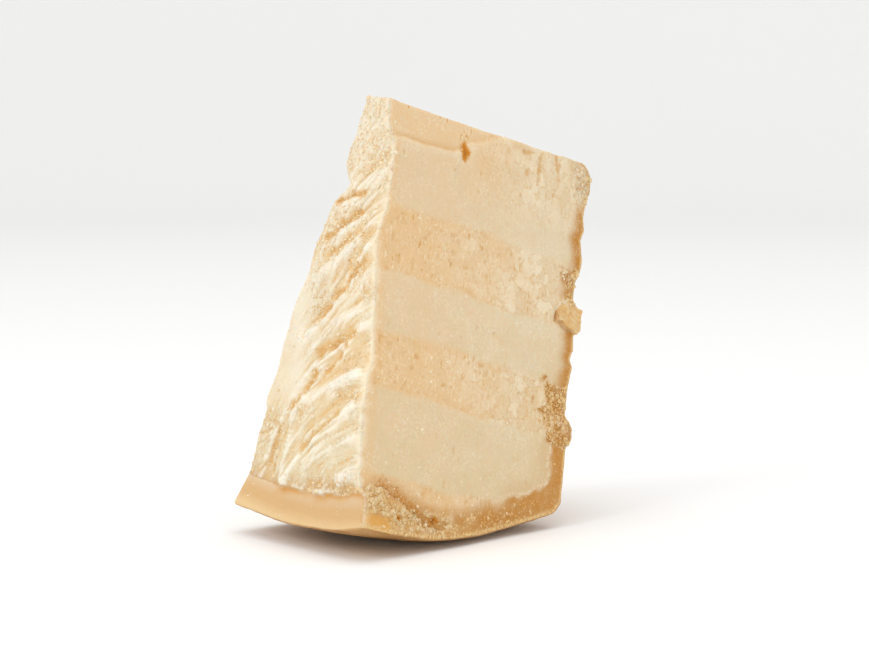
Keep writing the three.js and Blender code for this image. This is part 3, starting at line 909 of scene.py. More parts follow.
class Shader:
    """A material, its Principled shader and the one method that adds its other nodes."""

    def __init__(self, name, **constants):
        self.material = bpy.data.materials.new(name)
        self.material.use_nodes = True
        self.tree = self.material.node_tree
        self.principled = self.tree.nodes["Principled BSDF"]
        for socket, value in constants.items():
            self.principled.inputs[socket.replace("_", " ")].default_value = value

    def add(self, kind, settings=None, sockets=None, out=0):
        """Adds a node: first its settings, with a ramp's stops, then its sockets' values."""
        node = self.tree.nodes.new(kind)
        for key, value in (settings or {}).items():
            if key == "stops":
                self.set_stops(node.color_ramp, value)
            else:
                setattr(node, key, value)
        for key, value in (sockets or {}).items():
            if isinstance(value, Wire):
                self.tree.links.new(value.socket, node.inputs[key])
            else:
                node.inputs[key].default_value = value
        return Wire(self, node.outputs[out])

    @staticmethod
    def set_stops(ramp, stops):
        """Gives a colour ramp its stops, as (place, colour)."""
        while len(ramp.elements) < len(stops):
            ramp.elements.new(1.0)
        for element, (place, colour) in zip(ramp.elements, stops):
            element.position = place
            element.color = (*colour, 1.0)

    def mask(self, name):
        """A mask of the piece's mesh, as a number."""
        return self.add("ShaderNodeAttribute", {"attribute_name": name}, out="Fac")

    def place(self, name="wheel", stretch=(1, 1, 1)):
        """The wheel place of the mesh in metres, each direction divided by its stretch."""
        vector = self.add("ShaderNodeAttribute", {"attribute_name": name}, out="Vector")
        scale = tuple(1 / s for s in stretch)
        return self.add("ShaderNodeVectorMath", {"operation": "MULTIPLY"}, {0: vector, 1: scale})

    def noise(self, vector, size, detail=2.0, roughness=0.5, out="Fac"):
        """Noise with features of about the given size in metres."""
        return self.add("ShaderNodeTexNoise", {}, {
            "Vector": vector, "Scale": 1 / size, "Detail": detail, "Roughness": roughness}, out)

    def cells(self, vector, size, out="Distance"):
        """The distance to the nearest of random centres that lie about a size apart."""
        return self.add("ShaderNodeTexVoronoi", {}, {"Vector": vector, "Scale": 1 / size}, out)

    def borders(self, vector, size):
        """The distance to the nearest border between such cells, counted in sizes."""
        return self.add("ShaderNodeTexVoronoi", {"feature": "DISTANCE_TO_EDGE"},
                        {"Vector": vector, "Scale": 1 / size}, "Distance")

    def bent(self, vector, size, by):
        """A place moved by up to a length in each direction, by noise of a size."""
        away = self.noise(vector, size, 1.0, out="Color")
        away = self.add("ShaderNodeVectorMath", {"operation": "MULTIPLY_ADD"},
                        {0: away, 1: (2 * by,) * 3, 2: (-by,) * 3})
        return self.add("ShaderNodeVectorMath", {"operation": "ADD"}, {0: vector, 1: away})

    def spots(self, vector, size, radius, share):
        """Small round spots: one in most unit cells, from nought to one at its middle.

        The radius is a share of the cell's size. Each cell's own random number has to pass the
        share, and the spot is fainter where it only just does.
        """
        chosen = self.cells(vector, size, "Color")
        chosen = self.add("ShaderNodeSeparateColor", {}, {0: chosen}, out="Red")
        return self.cells(vector, size).between(radius, radius / 2) * chosen.between(share, 1.0)

    def diamond(self, vector, middle, half):
        """The sum of the distances from a middle, in half widths: one on a diamond round it."""
        steps = (("SUBTRACT", {1: middle}), ("DIVIDE", {1: half}), ("ABSOLUTE", {}))
        for operation, sockets in steps:
            vector = self.add("ShaderNodeVectorMath", {"operation": operation},
                              {0: vector, **sockets})
        return self.add("ShaderNodeVectorMath", {"operation": "DOT_PRODUCT"},
                        {0: vector, 1: (1, 1, 1)}, out="Value")

    def mix(self, share, first, second):
        """Colours mixed by a share, from the first at nought to the second at one.

        The node keeps the share between nought and one.
        """
        colour = [value if isinstance(value, Wire) else (*value, 1.0) for value in (first, second)]
        return self.add("ShaderNodeMix", {"data_type": "RGBA"},
                        {0: share, 6: colour[0], 7: colour[1]}, out=2)

    def feed(self, **wires):
        """Links wires to the Principled shader's sockets of these names."""
        for socket, wire in wires.items():
            self.tree.links.new(wire.socket, self.principled.inputs[socket.replace("_", " ")])

    def bump(self, height, distance, strength=1.0):
        """A normal bent by a height that is one at the given distance in metres."""
        return self.add("ShaderNodeBump", {}, {
            "Height": height, "Distance": distance, "Strength": strength}, out="Normal")


# The patterns' sizes in metres, from clouds to grains.
BROAD, PATCHY, CLOUDY, MOTTLE = 0.020, 0.010, 0.0075, 0.0042
SPECKLE, GRAIN, CRUMB_GRAIN, CRYSTAL_GRAIN = 0.0017, 0.0010, 0.0007, 0.0004
SCALE, LUMP, CRUMB = 0.0055, 0.0024, 0.0013
FULL_WIDTH = 0.105          # of the smooth face, from the break to the flat rind
GLOW_COLOUR = (1.0, 0.62, 0.3)
CHEESE_IOR = 1.45
BUMP_HEIGHT = 0.0004
CHUNK_MASKS = ("golden", "brown", "crust", "split", "across", "torn", "skin", "crumbled", "sandy",
               "facet", "rim", "line", "broken", "lift", "cut", "flake", "strip", "ledge", "gap",
               "crevice", "by_crevice", "plateau", "beside", "heel", "back")


class CheeseShader(Shader):
    """The chunk's material: paste, broken faces, crumbled places and rind, laid on in turn.

    It holds the masks and patterns that the layers share. Two methods give the smooth and the
    broken paste; the method of each later layer takes the colour so far and gives the new one.
    """

    def __init__(self, look):
        super().__init__("cheese_paste", Subsurface_Weight=look.translucency,
                         Subsurface_Scale=look.glow_depth, Subsurface_Radius=GLOW_COLOUR,
                         IOR=CHEESE_IOR)
        self.look = look
        self.masks = {name: self.mask(name) for name in CHUNK_MASKS}
        self.object_place = self.add("ShaderNodeTexCoord", out="Object")
        self.wheel = self.place()
        self.along, self.depth, self.reach = (
            self.add("ShaderNodeSeparateXYZ", {}, {0: self.wheel}, out=axis) for axis in "XYZ")
        self.add_noises()
        self.add_cells()
        side = self.along * (1 / FULL_WIDTH) + (self.broad - 0.5) * 0.8
        self.by_rind = side.between(0.15, 0.95)
        self.below_tip = self.reach.between(0.06, 0.10)
        self.clods = self.masks["crumbled"] * (1 - self.masks["broken"])
        self.gap = self.masks["gap"] + (self.speckle - 0.5) * 1.6
        self.crevice = self.masks["crevice"] + (self.speckle - 0.5) * 0.0060
        self.shaded = (self.crevice.between(-0.0042, -0.0014)
                       * self.crevice.between(0.0006, 0.0001) * self.masks["by_crevice"])

    def add_noises(self):
        """Clouds, mottle and grain in the object, and streaks that follow the wheel's radius."""
        here, radial = self.object_place, self.place
        self.broad = self.noise(here, BROAD, 3.0)
        self.cloudy = self.noise(here, CLOUDY, 2.0, 0.55)
        self.mottle = self.noise(here, MOTTLE, 3.0, 0.6)
        self.speckle = self.noise(here, SPECKLE, 2.0, 0.7)
        self.grain = self.noise(here, GRAIN, 3.0, 0.65)
        self.streaks = self.noise(radial(stretch=(1.0, 1.0, 3.0)), 0.0012, 2.0, 0.6)
        self.dashes = self.noise(radial(stretch=(1.0, 1.0, 2.4)), 0.0019, 1.0, 0.4)
        self.strands = self.noise(radial("fibre", (1.0, 7.0, 2.0)), 0.0014, 3.0, 0.6)
        course = (0.5 - self.noise(radial(stretch=(1.0, 1.0, 2.0)), 0.0045, 2.0, 0.6)).size()
        parts = self.noise(self.wheel, 0.006, 1.0).between(0.56, 0.64)
        self.strokes = course.between(0.020, 0.004) * parts

    def add_cells(self):
        """Packed lumps, crumbs and scales, as the distance to the gaps between them."""
        self.lumpy = self.cells(self.object_place, 0.0016)
        self.dots = self.spots(self.object_place, 0.0040, 0.15, 0.6)
        bent = self.bent(self.object_place, 0.004, 0.0012)
        self.to_lump_gap = self.borders(bent, LUMP)
        self.to_crumb_gap = self.borders(bent, CRUMB)
        self.to_scale_gap = self.borders(bent, SCALE)
        self.scale_shade = self.add("ShaderNodeSeparateColor", {},
                                    {0: self.cells(bent, SCALE, "Color")}, out="Red")

    def laid(self, colour, *layers):
        """The colour with each layer's colour mixed in by its share, one after the other."""
        for share, layer in layers:
            colour = self.mix(share, colour, layer)
        return colour

    def smooth_paste(self):
        """The smooth face: pinkish by the break, yellower by the rind, with soft clouds and painted
        shade towards the heel.
        """
        look, masks, by_rind = self.look, self.masks, self.by_rind
        patchy = self.noise(self.object_place, PATCHY, 1.0).between(0.42, 0.62)
        torn_up, facet = masks["torn"], masks["facet"]
        return self.laid(
            self.mix(by_rind, look.paste_break, look.paste_rind),
            (masks["golden"] * 0.75 + (self.cloudy - 0.5) * 0.5 * masks["golden"], look.golden),
            # Soft clouds, and painted shade that darkens the smooth face towards the heel, at the
            # bottom.
            ((self.cloudy - 0.5) * 1.8 + self.reach.between(0.09, 0.20) * 0.55, look.paste_cloud_and_low_shade),
            ((self.mottle - 0.5) * 0.8 + 0.25, look.paste_warm),
            (torn_up * (0.75 + (self.streaks - 0.5) * 2.0) * (1 - by_rind * 0.75), look.torn),
            (self.streaks.between(0.50, 0.36) * (0.15 + torn_up * 0.25)
             + self.speckle.between(0.48, 0.34) * 0.25 + masks["beside"] * (1 - by_rind) * 0.5,
             look.torn),
            ((facet * (0.75 + (self.streaks - 0.5) * 2.0)).clamped() * 0.9, look.torn),
            (facet * 0.1, look.pale),
            (self.grain.between(0.42, 0.78) * (0.12 + patchy * 0.3)
             + self.speckle.between(0.56, 0.70) * 0.2
             + self.streaks.between(0.59, 0.65) * torn_up * 0.4, look.pale))

    def flecks(self, colour):
        """Small orange dashes, strokes and dots, and the pale scales that peeled by the rind."""
        look, torn_up = self.look, self.masks["torn"]
        peeled = torn_up * self.by_rind
        dashes = (self.dashes.between(0.64, 0.70) * self.cloudy.between(0.44, 0.58)
                  * (0.2 + torn_up * 0.6 + self.masks["facet"]))
        return self.laid(
            colour,
            (dashes + self.strokes * (0.10 + torn_up * 0.25)
             + self.dots * (0.25 + torn_up * 0.35), look.fleck_and_hole_glow),
            (peeled * self.scale_shade.between(0.4, 0.9) * 0.45, look.pale),
            (peeled * self.to_scale_gap.between(0.07, 0.02)
             * self.speckle.between(0.51, 0.42) * 0.5, look.fleck_and_hole_glow))

    def dry_break(self):
        """The broken faces: pale fibres, painted glow in troughs and valleys, painted shade in
        golden nooks and valley bottoms, and one orange pit.
        """
        look, masks, grain, strands = self.look, self.masks, self.grain, self.strands
        by_tip = self.reach.between(0.090, 0.062)
        ledge = masks["ledge"] * self.to_crumb_gap.between(0.20, 0.05)
        nooks = self.to_lump_gap.between(0.10, 0.03) * self.speckle.between(0.52, 0.40)
        spot = self.diamond(self.wheel, (0, SPOT["depth"] * MM, SPOT["reach"] * MM),
                            (1, SPOT["half"] * MM, SPOT["half"] * MM)) + (grain - 0.5) * 0.9
        return self.laid(
            self.mix(self.broad.between(0.38, 0.62), look.break_pale, look.break_warm),
            (strands.between(0.50, 0.36) * 0.8, look.break_warm),
            # Painted glow in the troughs of the fibres and grains.
            (strands.between(0.40, 0.28) * 0.45
             + grain.between(0.38, 0.28) * masks["crumbled"] * 0.35, look.glow),
            (strands.between(0.54, 0.70) * 0.6 + grain.between(0.56, 0.70) * 0.3, look.rim),
            (masks["plateau"] * 0.3 + masks["ledge"] * grain.between(0.4, 0.6) * 0.8
             + by_tip * (0.3 + (self.speckle - 0.5) * 1.5), look.white),
            # Painted glow along the valleys, painted shade in their bottoms and between the ledge's
            # crumbs.
            (self.gap.between(1.4, 0.4) * 0.6, look.glow),
            (self.gap.between(0.65, 0.20) * grain.between(0.58, 0.47) * 0.8, look.crease_shade_and_speckle),
            (ledge * self.speckle.between(0.62, 0.46) * 0.85, look.crease_shade_and_speckle),
            # Painted shade in the nooks between lumps.
            (nooks * (0.35 + masks["crumbled"] * 0.6)
             * (1 - masks["plateau"] - by_tip * 0.45), look.hollow_shade),
            (self.reach.between(0.13, 0.19) * 0.55, look.break_low),
            # Painted glow: the orange spot of the broken face.
            (spot.between(1.2, 0.7), look.opening))

    def browned(self, colour):
        """The brown paste towards the rind, speckled where it is sandy or broken in clods."""
        look, masks, clods, by_heel = self.look, self.masks, self.clods, self.masks["heel"]
        grain, speckle = self.grain, self.speckle
        brown = (0.95 + (self.mottle - 0.5) * 0.8 + (grain - 0.5) * 1.4 - masks["broken"] * 0.4
                 - clods * 0.3 - by_heel * 0.8)
        sand = 0.5 + (speckle - 0.5) * 2.5 + (grain - 0.5) * 2.0
        grainy = (masks["sandy"] + clods + masks["brown"] * masks["golden"] * 0.5).clamped()
        return self.laid(
            colour,
            (clods * (0.5 + (self.cloudy - 0.5) * 1.5) * self.below_tip, look.clod),
            (masks["flake"] * 0.7, look.crust),
            (masks["brown"] * brown, look.under_rind),
            (masks["sandy"] * (1 - by_heel) * sand, look.under_rind),
            (grainy * speckle.between(0.44, 0.32) * (0.7 - by_heel * 0.3), look.crease_shade_and_speckle),
            (grainy * grain.between(0.54, 0.64) * 0.75, look.crust),
            (clods * self.to_lump_gap.between(0.2, 0.5) * 0.4 + by_heel * 0.7, look.crust))

    def painted_gap_shade(self, colour):
        """Painted shade in the gaps between the clods, darkest in their cores, and in a band just
        above the crevice over those of the heel, darkest along its bottom.
        """
        look, by_heel = self.look, self.masks["heel"]
        creases = (self.to_lump_gap.between(0.14, 0.03) * self.speckle.between(0.60, 0.44)
                   + self.to_crumb_gap.between(0.16, 0.04) * 0.6)
        cores = (self.to_crumb_gap.between(0.10, 0.03) * self.speckle.between(0.50, 0.38)
                 * (1 - by_heel * 0.4))
        bottom = self.crevice.size().between(0.0005, 0.0002)
        return self.laid(
            colour,
            (creases * self.clods * self.below_tip * (1 - by_heel * 0.45), look.crease_shade_and_speckle),
            (cores * self.clods * self.below_tip * 0.8, look.crack),
            (self.shaded * (0.55 + (self.grain - 0.5) * 4.0), look.crease_shade_and_speckle),
            (self.shaded * self.to_crumb_gap.between(0.2, 0.5) * 0.5, look.crust),
            (bottom * self.masks["by_crevice"] * 0.7, look.crack))

    def edged(self, colour):
        """The smooth strip at the left, the pale line in the corner and the rind's crust."""
        look, masks = self.look, self.masks
        return self.laid(
            colour,
            (masks["strip"] * 0.9, look.strip),
            (masks["line"] * self.grain.between(0.42, 0.56) * 0.45, look.pale),
            (masks["crust"] * self.grain.between(0.36, 0.56), look.crust))

    def relief_shade_and_highlight(self, colour):
        """Painted shade in hollows and painted highlight on crests, from the relief's lift, and the
        bright rim.
        """
        look, masks, lift, broken = self.look, self.masks, self.masks["lift"], self.masks["broken"]
        low = (lift * -1.0 + (self.lumpy - 0.42) * masks["crumbled"] - 0.1).clamped()
        high = (lift - 0.08).clamped()
        shown = broken * (1 - masks["back"] * 0.75)
        return self.laid(
            colour,
            # Painted shade: the hollows of the relief are darkened, warmer on the broken faces.
            (low * (0.8 - broken * 0.8), look.hollow_shade),
            (low * shown * 0.8, look.glow),
            (low * (self.clods - masks["heel"] * 0.6) * 0.5, look.crease_shade_and_speckle),
            # Painted highlight: the crests of the relief are lightened, whitest on the broken
            # faces.
            (high * (0.3 + broken * 0.1), look.pale),
            (high * shown * 0.9, look.white),
            (masks["rim"] * (0.65 + (self.grain - 0.5) * 1.2), look.rim))

    def valley_and_hole_glow(self, colour):
        """Painted glow in the valleys and holes of the smooth face, orange, with painted shade
        darker in their middles.
        """
        look, cut = self.look, self.masks["cut"]
        colour = self.laid(
            colour,
            (self.gap.between(1.0, 0.4) * cut * 0.35, look.fleck_and_hole_glow),
            (self.gap.between(0.40, 0.10) * cut * self.below_tip * 0.7, look.crack))
        for middle, far, wide, long in HOLES:
            opening = self.diamond(self.wheel, (middle * MM, 0, far * MM),
                                   (wide * MM, 1, long * MM)) + (self.grain - 0.5) * 0.9
            colour = self.laid(
                colour,
                (opening.between(1.25, 0.8) * cut * 0.7, look.fleck_and_hole_glow),
                (opening.between(0.95, 0.60) * cut, look.opening),
                (opening.between(0.55, 0.2) * cut * 0.6, look.crack))
        return colour

    def split_rind(self, colour):
        """The band where the rind split cleanly, with a darker line along its inner edge and
        painted shade in its hollows.
        """
        look, split = self.look, self.masks["split"]
        across = self.masks["across"] + (self.mottle - 0.5) * 0.12 + self.depth * 2.2 - 0.05
        band = self.add("ShaderNodeValToRGB", {"stops": look.band_stops()}, {0: across},
                        out="Color")
        edge = (split - 0.5).size().between(0.45, 0.1) * self.depth.between(0.036, 0.046)
        return self.laid(
            colour,
            (split, band),
            (edge * self.masks["broken"] * 0.6, look.crease_shade_and_speckle),
            (split * (self.masks["lift"] * -1.3 - 0.1), look.hollow_shade))

    def outer_rind(self, colour):
        """The dry outer skin with darker handled parts, and white specks in the paste."""
        look, skin, split = self.look, self.masks["skin"], self.masks["split"]
        wear = self.noise(self.object_place, 0.012, 4.0, 0.65)
        rind = self.laid(
            self.mix(wear.between(0.35, 0.65), look.rind, look.rind_dark),
            (self.grain.between(0.55, 0.7) * 0.4, look.crust))
        specks = self.spots(self.wheel, 0.0033, 0.14, 0.68)
        return self.laid(
            colour,
            (skin, rind),
            (specks * (1 - skin) * (1 - split * 0.7) * 0.6, look.crystal))

    def height(self):
        """The fine relief, in bump heights."""
        masks, broken = self.masks, self.masks["broken"]
        packed_up = (self.to_lump_gap.between(0.0, 0.35) * 0.9
                     + self.to_crumb_gap.between(0.0, 0.3) * 0.6)
        return (self.grain * (0.35 + broken * 0.7 + masks["crumbled"] * 0.3
                              + masks["sandy"] * 0.9)
                + self.strands * broken * 1.2 + self.streaks * (0.2 + masks["torn"] * 0.6)
                - self.lumpy * (masks["crumbled"] * 0.5 + broken * 0.6)
                + packed_up * (masks["crumbled"] - broken * 0.5).clamped()
                + self.mottle * (0.4 + broken * 0.6)
                - self.shaded * 0.8 - self.strokes * 0.1 - self.dots * 0.3)


def cheese_material(look):
    """The chunk's material, with every layer from the paste out to the rind."""
    shader = CheeseShader(look)
    masks = shader.masks
    colour = shader.flecks(shader.smooth_paste())
    colour = shader.mix(masks["broken"], colour, shader.dry_break())
    for layer in (shader.browned, shader.painted_gap_shade, shader.edged, shader.relief_shade_and_highlight, shader.valley_and_hole_glow,
                  shader.split_rind, shader.outer_rind):
        colour = layer(colour)
    roughness = (0.55 + shader.mottle * 0.15 + masks["broken"] * 0.1 - masks["skin"] * 0.08
                 - masks["split"] * 0.1).clamped()
    shader.feed(Base_Color=colour, Roughness=roughness,
                Normal=shader.bump(shader.height(), BUMP_HEIGHT, 0.8))
    return shader.material


def crumb_material(look):
    """Dry crumbs between pale paste and golden rind, one shade for each crumb."""
    shader = Shader("cheese_crumbs", Roughness=0.7, Subsurface_Weight=look.translucency * 0.6,
                    Subsurface_Scale=look.glow_depth * 0.5, Subsurface_Radius=GLOW_COLOUR)
    object_place = shader.add("ShaderNodeTexCoord", out="Object")
    grain = shader.noise(object_place, CRUMB_GRAIN, 2.0)
    shade = shader.mask("shade")
    colour = shader.mix(shade, look.pale, look.paste_warm)
    golden = shader.mix(shade, look.clod, look.crust)
    colour = shader.mix((shader.mask("brown") * 0.9).clamped(), colour, golden)
    colour = shader.mix(grain.between(0.5, 0.7) * 0.3, colour, look.pale)
    shader.feed(Base_Color=colour, Normal=shader.bump(grain, BUMP_HEIGHT / 2, 0.6))
    return shader.material


def crystal_material(look):
    """The small hard white grains that form while the cheese ages."""
    shader = Shader("cheese_crystals", Roughness=0.35, Subsurface_Weight=0.5,
                    Subsurface_Scale=look.glow_depth * 0.3)
    object_place = shader.add("ShaderNodeTexCoord", out="Object")
    grain = shader.noise(object_place, CRYSTAL_GRAIN, 1.0)
    shader.feed(Base_Color=shader.mix(grain, look.crystal, look.pale))
    return shader.material


def plain_material(name, colour, roughness):
    """A matt studio surface with the faintest unevenness."""
    shader = Shader(name, Roughness=roughness)
    object_place = shader.add("ShaderNodeTexCoord", out="Object")
    cloud = shader.noise(object_place, 0.8, 2.0)
    darker = tuple(channel * 0.985 for channel in colour)
    shader.feed(Base_Color=shader.mix(cloud, tuple(colour), darker))
    return shader.material


# ---- settings -------------------------------------------------------------------------------

def length(name, description, default):
    """A length property in metres."""
    return FloatProperty(name=name, description=description, default=default, min=0.0,
                         unit="LENGTH", precision=4)


def shade(name, description, red, green, blue):
    """A colour property whose default is given as an 8-bit screen colour."""
    linear = [((c / 255 + 0.055) / 1.055) ** 2.4 for c in (red, green, blue)]
    return FloatVectorProperty(name=name, description=description, default=linear, size=3,
                               subtype="COLOR", min=0.0, max=1.0)


class CheeseSize(PropertyGroup):
    """The chunk's driving sizes."""
    wheel_radius: length("Wheel radius", "Radius of the wheel the chunk comes from", 0.2106)
    kept_height: length("Kept height", "From the broken face to the flat rind", 0.112)
    tip_thickness: length("Tip thickness", "Through the chunk at its tip", 0.0162)
    lean_back: FloatProperty(name="Lean back", description="Lean of the smooth face from upright",
                             default=math.radians(12), subtype="ANGLE")
    lean_side: FloatProperty(name="Lean sideways", description="Lean towards the flat rind",
                             default=math.radians(15), subtype="ANGLE")


class CheeseLook(PropertyGroup):
    """The colours and the depth of glow of the paste and the rind."""
    paste_break: shade("Paste by the break", "Pinkish paste near the broken face", 225, 198, 160)
    # Soft clouds, and also painted shade on the lower part of the smooth face.
    paste_rind: shade("Paste by the rind", "Yellower paste near the flat rind", 222, 207, 177)
    paste_cloud_and_low_shade: shade("Cloudy paste", "Soft clouds in the paste", 213, 195, 154)
    golden: shade("Golden paste", "Paste on its way to the rind", 214, 184, 134)
    paste_warm: shade("Warm paste", "Mottling of the paste", 225, 198, 156)
    torn: shade("Torn paste", "Warmer paste where the knife tore", 228, 188, 134)
    # Also painted glow round the valleys and holes of the smooth face.
    fleck_and_hole_glow: shade("Flecks", "Small orange marks", 210, 160, 90)
    # Also painted highlight on the crests of the relief.
    pale: shade("Pale paste", "Dry crumbled edges of the paste", 245, 234, 208)
    break_pale: shade("Pale break", "Dry paste of the broken faces", 234, 220, 192)
    break_warm: shade("Warm break", "Warmer parts of the broken faces", 229, 204, 162)
    break_low: shade("Low break", "Paste of the broken face above the rind", 222, 207, 172)
    rim: shade("Rim", "Bright edge between the broken and the smooth face", 243, 230, 202)
    under_rind: shade("Under the rind", "Drier, browner paste under the rind", 191, 130, 46)
    strip: shade("Strip", "Smooth rind at the broken edge", 226, 168, 82)
    clod: shade("Clods", "Golden lumps of the broken patches", 224, 174, 94)
    # Painted shade in creases, gaps and valley bottoms, and also the dark speckles of the sandy
    # paste.
    crease_shade_and_speckle: shade("Creases", "Gaps between the golden lumps", 190, 126, 40)
    # Also painted highlight on the crests of the broken faces.
    white: shade("White paste", "Driest paste of the broken face", 244, 238, 223)
    # Painted glow: the orange inside the crack by the tip, the other holes and the spot of the
    # broken face.
    opening: shade("Opening", "Sides of the crack by the tip", 208, 130, 14)
    crust: shade("Crust", "Pale crumbly edge of the rind", 230, 198, 140)
    glow: shade("Glowing hollows", "Hollows of the broken faces", 228, 184, 118)
    # Painted shade for the hollows of the relief and the gaps between lumps.
    hollow_shade: shade("Hollows", "Deep gaps", 213, 159, 86)
    # Painted shade: the darkest colour, at the bottoms of cracks, gaps, valleys and holes.
    crack: shade("Cracks", "Deep cracks", 162, 98, 8)
    band_top: shade("Band, top", "Split rind next to the paste", 220, 194, 158)
    band_middle: shade("Band, middle", "Split rind in its middle", 213, 173, 120)
    band_outer: shade("Band, outer", "Split rind by the outer skin", 228, 196, 144)
    rind: shade("Rind", "Outer face of the rind", 200, 154, 92)
    rind_dark: shade("Dark rind", "Handled parts of the rind", 168, 118, 62)
    crystal: shade("Crystals", "White grains", 252, 247, 234)
    translucency: FloatProperty(name="Translucency", description="Share of light that soaks in",
                                default=0.25, min=0.0, max=1.0, subtype="FACTOR")
    glow_depth: length("Glow depth", "How far light soaks in", 0.0014)

    def band_stops(self):
        """The split rind's colours from the paste outwards."""
        return ((0.05, self.band_top), (0.42, self.band_middle), (0.62, self.band_middle),
                (0.95, self.band_outer))


class CrumbSettings(PropertyGroup):
    """How many crumbs and crystals lie on the faces, and their sizes."""
    crumbs: IntProperty(name="Crumbs", description="Number of clinging crumbs", default=4000, min=1)
    crumb_small: length("Smallest crumb", "Width of the smallest crumb", 0.0003)
    crumb_large: length("Largest crumb", "Width of the largest crumb", 0.0015)
    clods: IntProperty(name="Clods", description="Number of larger crumbs", default=800, min=1)
    clod_small: length("Smallest clod", "Width of the smallest clod", 0.0010)
    clod_large: length("Largest clod", "Width of the largest clod", 0.0032)
    crystals: IntProperty(name="Crystals", description="Number of white grains", default=550, min=1)
    crystal_small: length("Smallest crystal", "Width of the smallest grain", 0.00022)
    crystal_large: length("Largest crystal", "Width of the largest grain", 0.0007)


class StageSettings(PropertyGroup):
    """The floor, the lights and the camera."""
    floor: shade("Floor", "Colour of the floor", 250, 250, 249)
    key_power: FloatProperty(name="Key light", description="Power of the key light", default=3.0,
                             min=0.0, unit="POWER")
    top_power: FloatProperty(name="Top light", description="Power of the wide light overhead",
                             default=30.0, min=0.0, unit="POWER")
    fill_power: FloatProperty(name="Fill light", description="Power of the fill light", default=1.2,
                              min=0.0, unit="POWER")
    sky: FloatProperty(name="Surroundings", description="Strength of the white surroundings",
                       default=0.70, min=0.0)
    camera_turn: FloatProperty(name="Camera turn", description="Turn of the camera round the chunk",
                               default=math.radians(-40.43), subtype="ANGLE")
    camera_rise: FloatProperty(name="Camera rise", description="Height angle of the camera",
                               default=math.radians(6.05), subtype="ANGLE")
    camera_distance: length("Camera distance", "From the camera to its aim", 0.9)
    lens: FloatProperty(name="Lens", description="Focal length in millimetres on a 36 mm sensor",
                        default=91.98, min=1.0)


CAMERA_AIM = (0.01578, -0.00538, 0.08283)


# ---- operators ------------------------------------------------------------------------------

class CHEESE_OT_chunk(Operator):
    """Model the chunk's fine surface over its plain solid"""
    bl_idname = "cheese.chunk"
    bl_label = "Cheese Chunk"

    def execute(self, context):
        """The lattice's skin is carried to the chunk's points and stood up on the bench."""
        size = context.scene.cheese_size
        block = Block(size)
        shares, squares = lattice_skin(CELLS)
        a, t, s = shares
        points, relief, masks = chunk_points(block, crowded(a, 0.45), crowded(t, 0.25), s)
        # The relief above its surroundings: the paint darkens its hollows and lightens its crests
        # as painted shade and highlight.
        high = relief - settled(relief, squares, LIFT_PASSES)
        masks["lift"] = np.clip(high / LIFT_HEIGHT, -1, 1)
        piece = make_piece("chunk", stand_up(size, block, points), squares,
                           cheese_material(context.scene.cheese_look), masks)
        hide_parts(CAD_NODE)
        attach(piece, "root")
        return {"FINISHED"}


class CHEESE_OT_flake(Operator):
    """Model the loose flake by the flat rind"""
    bl_idname = "cheese.flake"
    bl_label = "Flake"

    def execute(self, context):
        """A thin plate between two ragged edges, in the chunk's own paste."""
        size = context.scene.cheese_size
        block = Block(size)
        shares, squares = lattice_skin(FLAKE_CELLS)
        points = flake_points(*shares)
        whole = np.ones(len(points))
        # The flake's lift is noise, so its painted shade and highlight fall at random.
        masks = {"wheel": points * MM, "fibre": points[:, ::-1] * MM, "flake": whole, "cut": whole,
                 "gap": whole * FAR, "golden": whole, "brown": whole * 0.25,
                 "lift": 0.8 * noise(*(points[:, ::2].T / 1.3), 195)}
        chunk = bpy.data.objects["chunk"]
        piece = make_piece("flake", stand_up(size, block, points), squares,
                           chunk.data.materials[0], masks, smooth=False)
        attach(piece, "root")
        return {"FINISHED"}


class CHEESE_OT_crumbs(Operator):
    """Scatter clinging crumbs over the crumbled places"""
    bl_idname = "cheese.crumbs"
    bl_label = "Crumbs"

    def execute(self, context):
        """Crumbs gather where the surface crumbled, along the rind's edges and in hollows."""
        amounts = context.scene.cheese_crumbs
        points, normals, mask = read_points(bpy.data.objects["chunk"])
        low = np.clip(-mask("lift"), 0, 1)
        grainy = mask("crumbled") * (0.2 + 0.8 * mask("broken"))
        weight = (0.015 + grainy * (0.15 + low) + mask("crust") * 0.35
                  + mask("broken") * (0.05 + 0.8 * low) + mask("sandy") * 0.25
                  + mask("ledge") * 0.4)
        weight = weight * (1 - mask("skin") * 0.95) * (points[:, 2] > 3 * MM)
        grains = scatter(points, normals, weight, amounts.crumbs,
                         (amounts.crumb_small, amounts.crumb_large), 0.5, seed=5)
        patches = mask("crumbled") * (1 - mask("broken")) + mask("sandy") * 0.5
        brown = np.maximum(mask("brown"), np.clip(patches, 0, 1)) * (1 - 0.5 * mask("heel"))
        brown = brown[grains.chosen]
        piece = make_piece("crumbs", grains.points, grains.faces,
                           crumb_material(context.scene.cheese_look),
                           {"shade": grains.shade, "brown": brown}, smooth=False)
        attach(piece, "root")
        return {"FINISHED"}


